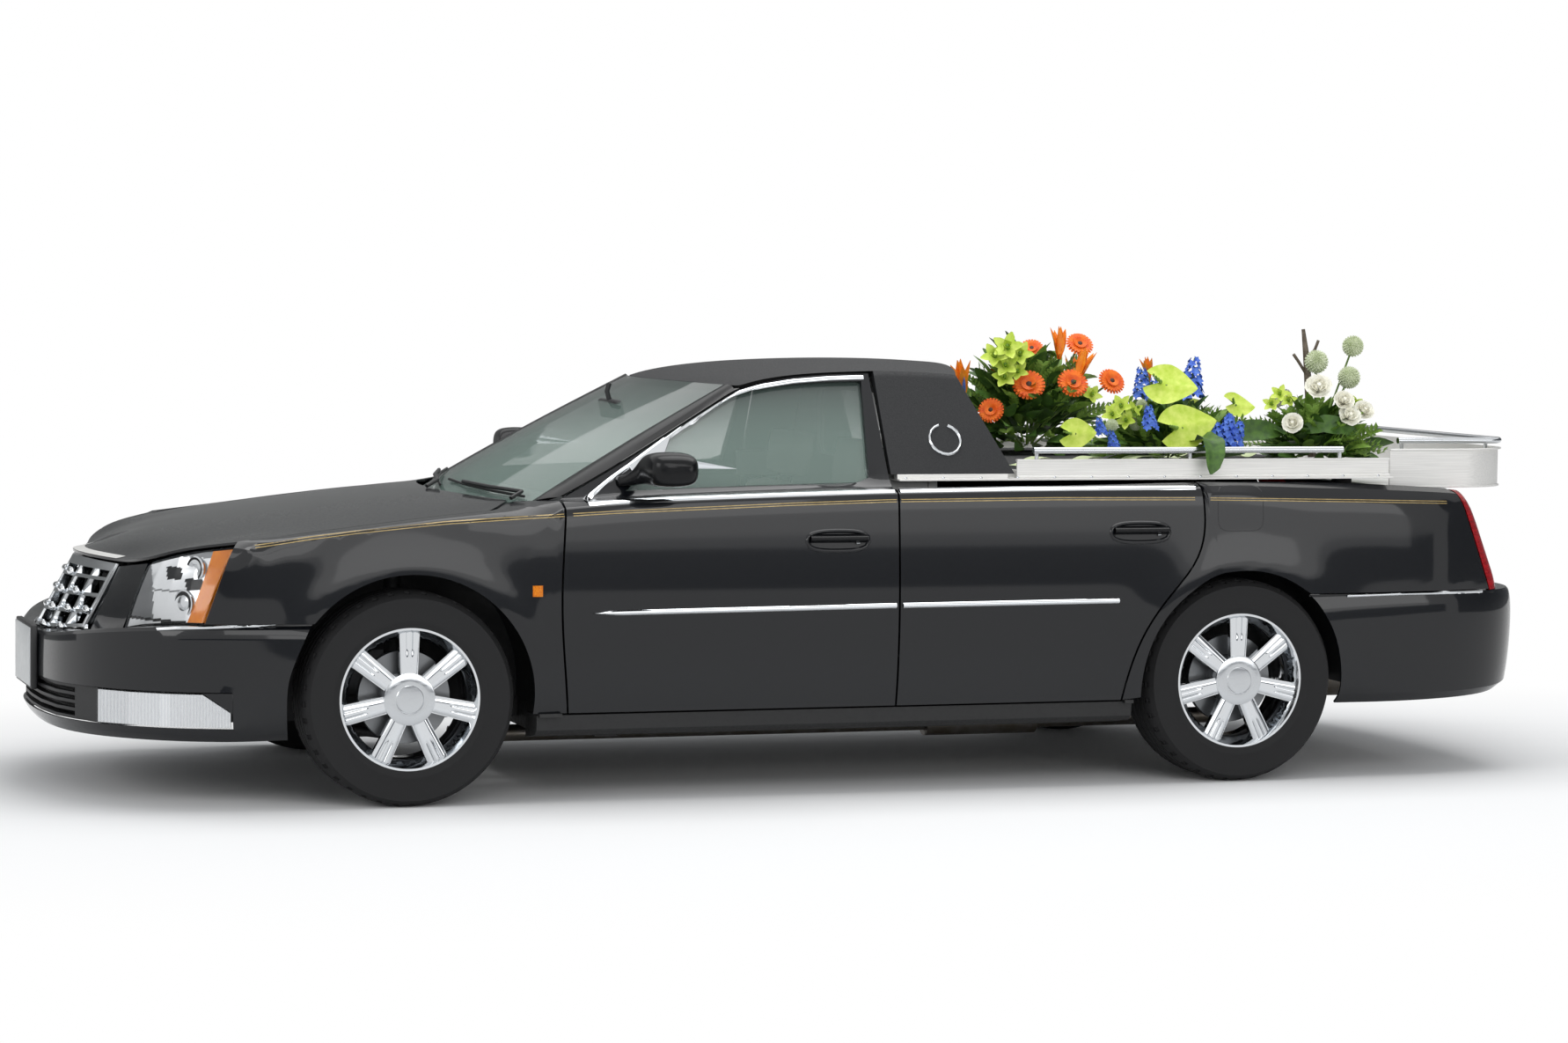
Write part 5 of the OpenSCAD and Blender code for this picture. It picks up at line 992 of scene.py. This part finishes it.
def buildDelphinium(bm):  # a spike of small blue florets, along +Z
    chance = random.Random(5)
    for k in range(26):
        a, z = k * 2.4, 0.15 + 0.85 * k / 26
        wide = 0.2 * (1.15 - z) + 0.04
        place = (Matrix.Translation((math.cos(a) * wide, math.sin(a) * wide, z)) @ Matrix.Rotation(a, 4, "Z")
                 @ Matrix.Rotation(1.1, 4, "Y"))
        for p in range(5):
            turn = place @ Matrix.Scale(0.16 * (1.25 - 0.7 * z), 4) @ ringTurn(p, 5, 0.25 + chance.random() * 0.2)
            addBlade(bm, 1, 0.8, "blue", 0.1, 0.15, 2, 0.5, turn)
    for k in range(5):
        addDome(bm, 0.02, 0.12, "stem", (0, 0, 0.1 + 0.2 * k))


def buildStrelitzia(bm):
    for spread, lean in ((-0.35, 1.1), (-0.12, 1.3), (0.12, 1.35), (0.36, 1.12), (0.0, 0.95)):
        turn = Matrix.Rotation(spread * 2, 4, "Z") @ Matrix.Rotation(-lean, 4, "Y")
        addBlade(bm, 1.0, 0.26, "flame", -0.05, 0.35, 4, 0.9, turn)
    addBlade(bm, 0.75, 0.09, "blue", 0, 0.4, 3, 1, Matrix.Rotation(-0.9, 4, "Y"))
    addBlade(bm, 0.95, 0.17, "leafFresh", 0.1, 0.9, 4, 0.9, Matrix.Rotation(-0.25, 4, "Y"))


def buildAllium(bm):  # a ball of tiny stars
    bmesh.ops.create_icosphere(bm, subdivisions=3, radius=0.8)
    for v in bmesh.ops.poke(bm, faces=bm.faces[:])["verts"]:
        v.co *= 1.28
    paintFaces(bm.verts, "allium")


def buildLeaf(bm):
    addBlade(bm, 1.0, 0.56, "leafDark", 0.25, 0.14, 6, 0.75)


def buildFreshLeaf(bm):
    addBlade(bm, 1.0, 0.4, "leafFresh", 0.2, 0.16, 5, 0.9)


def buildSprig(bm):  # a twig with pairs of small leaves, along +X
    for k in range(7):
        for side in (-1, 1):
            turn = (Matrix.Translation((0.14 * k, 0, 0.04 * k - 0.012 * k * k)) @ Matrix.Rotation(side * 0.9, 4, "Z")
                    @ Matrix.Rotation(-0.35, 4, "Y"))
            addBlade(bm, 0.26, 0.14, "leafFresh", 0.1, 0.15, 2, 0.9, turn)
    addBlade(bm, 1.0, 0.03, "stem", 0.1, 0.3, 4, 0.3)


bloomKinds = {"gerbera": buildGerbera, "rose": buildRose, "orchid": buildOrchid, "anthurium": buildAnthurium,
              "delphinium": buildDelphinium, "strelitzia": buildStrelitzia, "allium": buildAllium, "leaf": buildLeaf,
              "freshLeaf": buildFreshLeaf, "sprig": buildSprig}
blooms = {name: bloomMesh(name, build) for name, build in bloomKinds.items()}


def setBloom(bm, kind, place, facing, sizeMm, spin):  # facing is where its top looks; blades run along it
    track = "X" if kind in ("leaf", "freshLeaf", "sprig") else "Z"
    turn = Vector(facing).to_track_quat(track, "Y" if track == "Z" else "Z").to_matrix().to_4x4()
    bloom = blooms[kind].copy()
    bloom.transform(Matrix.Translation(place) @ turn @ Matrix.Rotation(spin, 4, track) @ Matrix.Scale(sizeMm / 1000, 4))
    bm.from_mesh(bloom)
    bpy.data.meshes.remove(bloom)


def addStem(bm, points, radius, paint):
    def build(stemBm):
        sweptTube(stemBm, points, radius, 6)
        faceOut(stemBm)
        paintFaces(stemBm.verts, paint)
    stem = bloomMesh("stem", build)
    bm.from_mesh(stem)
    bpy.data.meshes.remove(stem)


# A broad leaf laid along a line, widest before its middle, with a folded vein
def addBroadLeaf(bm, points, width):
    steps = 4 * (len(points) - 1)
    made = bmesh.ops.create_grid(bm, x_segments=steps, y_segments=4, size=1)["verts"]
    for v in made:
        share, side = (v.co.x + 1) / 2, v.co.y
        k = min(int(share * (len(points) - 1)), len(points) - 2)
        t = share * (len(points) - 1) - k
        before, after = points[max(k - 1, 0)], points[min(k + 2, len(points) - 1)]
        bend = (after - before).normalized()
        across = bend.cross(Vector((0, -1, 0.35))).normalized()
        half = width / 2 * math.sin(math.pi * min(0.99, 0.06 + 0.94 * share)) ** 0.7
        v.co = points[k].lerp(points[k + 1], t) + across * side * half + across.cross(bend) * abs(side) * half * 0.3
    paintFaces(made, "leafDark")


def wayOut(chance, lowest, highest):  # a random way out of a bouquet, between two slopes
    around, lift = chance.uniform(0, 2 * math.pi), chance.uniform(lowest, highest)
    return Vector((math.cos(around) * math.cos(lift), math.sin(around) * math.cos(lift), math.sin(lift)))


broadLeaves = {"front": [],
               "rear": [([(3330, -520, 1200), (3400, -560, 1225), (3470, -575, 1215), (3530, -580, 1190)], 70)],
               "middle": [([(2820, -560, 1150), (2850, -680, 1176), (2853, -770, 1184), (2850, -822, 1176),
                            (2843, -852, 1135), (2834, -862, 1090), (2826, -864, 1064)], 84),
                          ([(3030, -470, 1180), (3110, -490, 1196), (3200, -495, 1200), (3290, -490, 1192)], 80)]}
lichenTwig = [([(3430, -410, 1100), (3416, -400, 1351), (3403, -400, 1478), (3391, -400, 1560)],
               [0.015, 0.014, 0.012, 0.007]),
              ([(3408, -400, 1440), (3440, -400, 1490), (3452, -400, 1520)], 0.006),
              ([(3412, -400, 1390), (3375, -405, 1440), (3352, -405, 1470)], 0.006)]
toViewer = (-0.35, -0.9, 0.25)
bouquets = {  # blooms: a place and a size in millimetres
    "front": {"base": (2640, 380, 1090), "spread": (320, 240, 430), "leaves": 380, "sprigs": 60, "blooms": {
        "gerbera": [(2574, 200, 1340, 60), (2749, 200, 1347, 58), (2912, 220, 1353, 52), (2815, 300, 1488, 52),
                    (2635, 330, 1470, 46), (2430, 210, 1246, 48), (2610, 560, 1380, 58), (2780, 580, 1330, 58)],
        "strelitzia": [(2741, 320, 1430, 125), (2777, 220, 1350, 130), (2360, 300, 1290, 150),
                       (2860, 470, 1330, 120)],
        "orchid": [(2501, 230, 1470, 66), (2455, 240, 1440, 58), (2550, 230, 1445, 58), (2490, 220, 1405, 58),
                   (2484, 210, 1362, 52), (2535, 215, 1385, 48), (2830, 220, 1300, 44), (2660, 560, 1430, 60)]}},
    "middle": {"base": (2850, -430, 1090), "spread": (340, 190, 190), "leaves": 210, "sprigs": 70, "blooms": {
        "anthurium": [(2775, -590, 1366, 86), (2800, -680, 1218, 92), (2400, -670, 1197, 60), (3110, -450, 1290, 56),
                      (2980, -230, 1300, 80)],
        "delphinium": [(2763, -420, 1300, 120), (2940, -420, 1290, 165), (2693, -640, 1205, 95),
                       (2950, -690, 1140, 120), (2990, -680, 1130, 115), (2912, -690, 1135, 105),
                       (2965, -650, 1150, 120), (2538, -580, 1185, 70), (2577, -600, 1140, 70),
                       (2870, -270, 1200, 180)],
        "strelitzia": [(2800, -380, 1370, 90)],
        "orchid": [(2645, -500, 1285, 46), (2690, -500, 1262, 44), (2612, -500, 1255, 42), (2655, -520, 1235, 42)],
        "allium": [(2700, -500, 1225, 26), (2600, -520, 1220, 24), (2730, -480, 1290, 22)]}},
    "rear": {"base": (3430, -420, 1090), "spread": (230, 180, 190), "leaves": 170, "sprigs": 80, "blooms": {
        "rose": [(3396, -520, 1342, 62), (3484, -540, 1298, 48), (3496, -560, 1246, 52), (3565, -530, 1264, 48),
                 (3276, -570, 1222, 48), (3380, -270, 1290, 54), (3480, -260, 1240, 50)],
        "allium": [(3590, -400, 1500, 40), (3431, -430, 1444, 44), (3557, -440, 1388, 42)],
        "orchid": [(3281, -450, 1325, 40), (3250, -450, 1290, 38), (3590, -430, 1290, 34), (3330, -420, 1300, 36)]}}}
for name, facts in bouquets.items():
    chance = random.Random(len(name) * 7)
    base = spot(*facts["base"])
    spread = Vector(facts["spread"]) / 1000
    bm = bmesh.new()
    for _ in range(facts["leaves"]):
        out = wayOut(chance, 0.05, 1.4)
        place = base + Vector((out.x * spread.x, out.y * spread.y, out.z * spread.z)) * chance.uniform(0.3, 0.8)
        kind = "leaf" if chance.random() < 0.65 else "freshLeaf"
        facing = out + Vector((0, 0, chance.uniform(-0.2, 0.3)))
        setBloom(bm, kind, place, facing, chance.uniform(70, 130), chance.uniform(-0.8, 0.8))
    for _ in range(facts["sprigs"]):
        out = wayOut(chance, 0.1, 1.2)
        place = base + Vector((out.x * spread.x, out.y * spread.y, out.z * spread.z)) * 0.7
        setBloom(bm, "sprig", place, out + Vector((0, 0, 0.2)), chance.uniform(80, 130), chance.uniform(-1, 1))
    for kind, places in facts["blooms"].items():
        for x, y, z, size in places:
            at = spot(x, y, z)
            turned = 0.9 if y < facts["base"][1] + 60 else -0.2  # near blooms look at the viewer
            facing = (at - base).normalized() * 0.6 + Vector(toViewer) * turned
            if kind in ("delphinium", "strelitzia"):
                facing = (at - base).normalized() * 0.35 + Vector((0, 0, 1))
            setBloom(bm, kind, at, facing, size, chance.uniform(-0.6, 0.6))
            if kind in ("allium", "gerbera", "anthurium", "strelitzia"):
                start = base + (at - base) * 0.1
                addStem(bm, [start, (start + at) / 2 + Vector((0, 0, 0.01)), at], 0.004, "stem")
    for path, radius in lichenTwig if name == "rear" else ():
        addStem(bm, [spot(*p) for p in path], radius, "bark")
    for path, width in broadLeaves[name]:
        addBroadLeaf(bm, [spot(*p) for p in path], width / 1000)
    bouquet = finishPiece(f"bouquet_{name}", bm, palette, "car_body", softAngle=60)
    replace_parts(bouquet, "flowers")
print("bouquets done")

# Satin ribbons laid on the deck beside the bouquets

ribbons = [("front", (2180, -640), 0.12, 0.09, 0.62), ("rear", (2990, -130), 0.2, 0.09, 0.5),
           ("side", (3110, -640), -0.2, 0.08, 0.42)]
ribbonFoot, steps = 1087, 36
for name, (x, y), heading, width, length in ribbons:
    bm = gridMesh(steps, 2)
    rows = [(0.0, 0.0)]
    for k in range(steps):  # walks along the ribbon, rising and falling in low waves
        slope = 0.45 * math.sin(2 * math.pi * k / 12) * (1 if k < steps - 6 else 0)
        rows.append((rows[-1][0] + length / steps * math.cos(slope), rows[-1][1] + length / steps * math.sin(slope)))
    lowest = min(r[1] for r in rows)
    turn = Matrix.Translation(spot(x, y, ribbonFoot)) @ Matrix.Rotation(heading, 4, "Z")
    for v in bm.verts:
        k = round((v.co.x + 1) / 2 * steps)
        v.co = turn @ Vector((rows[k][0], v.co.y * width / 2, rows[k][1] - lowest))
    ribbon = finishPiece(f"ribbon_{name}", bm, palette[paintIndex["ribbon"]], "car_body", softAngle=80)
print("ribbons done")
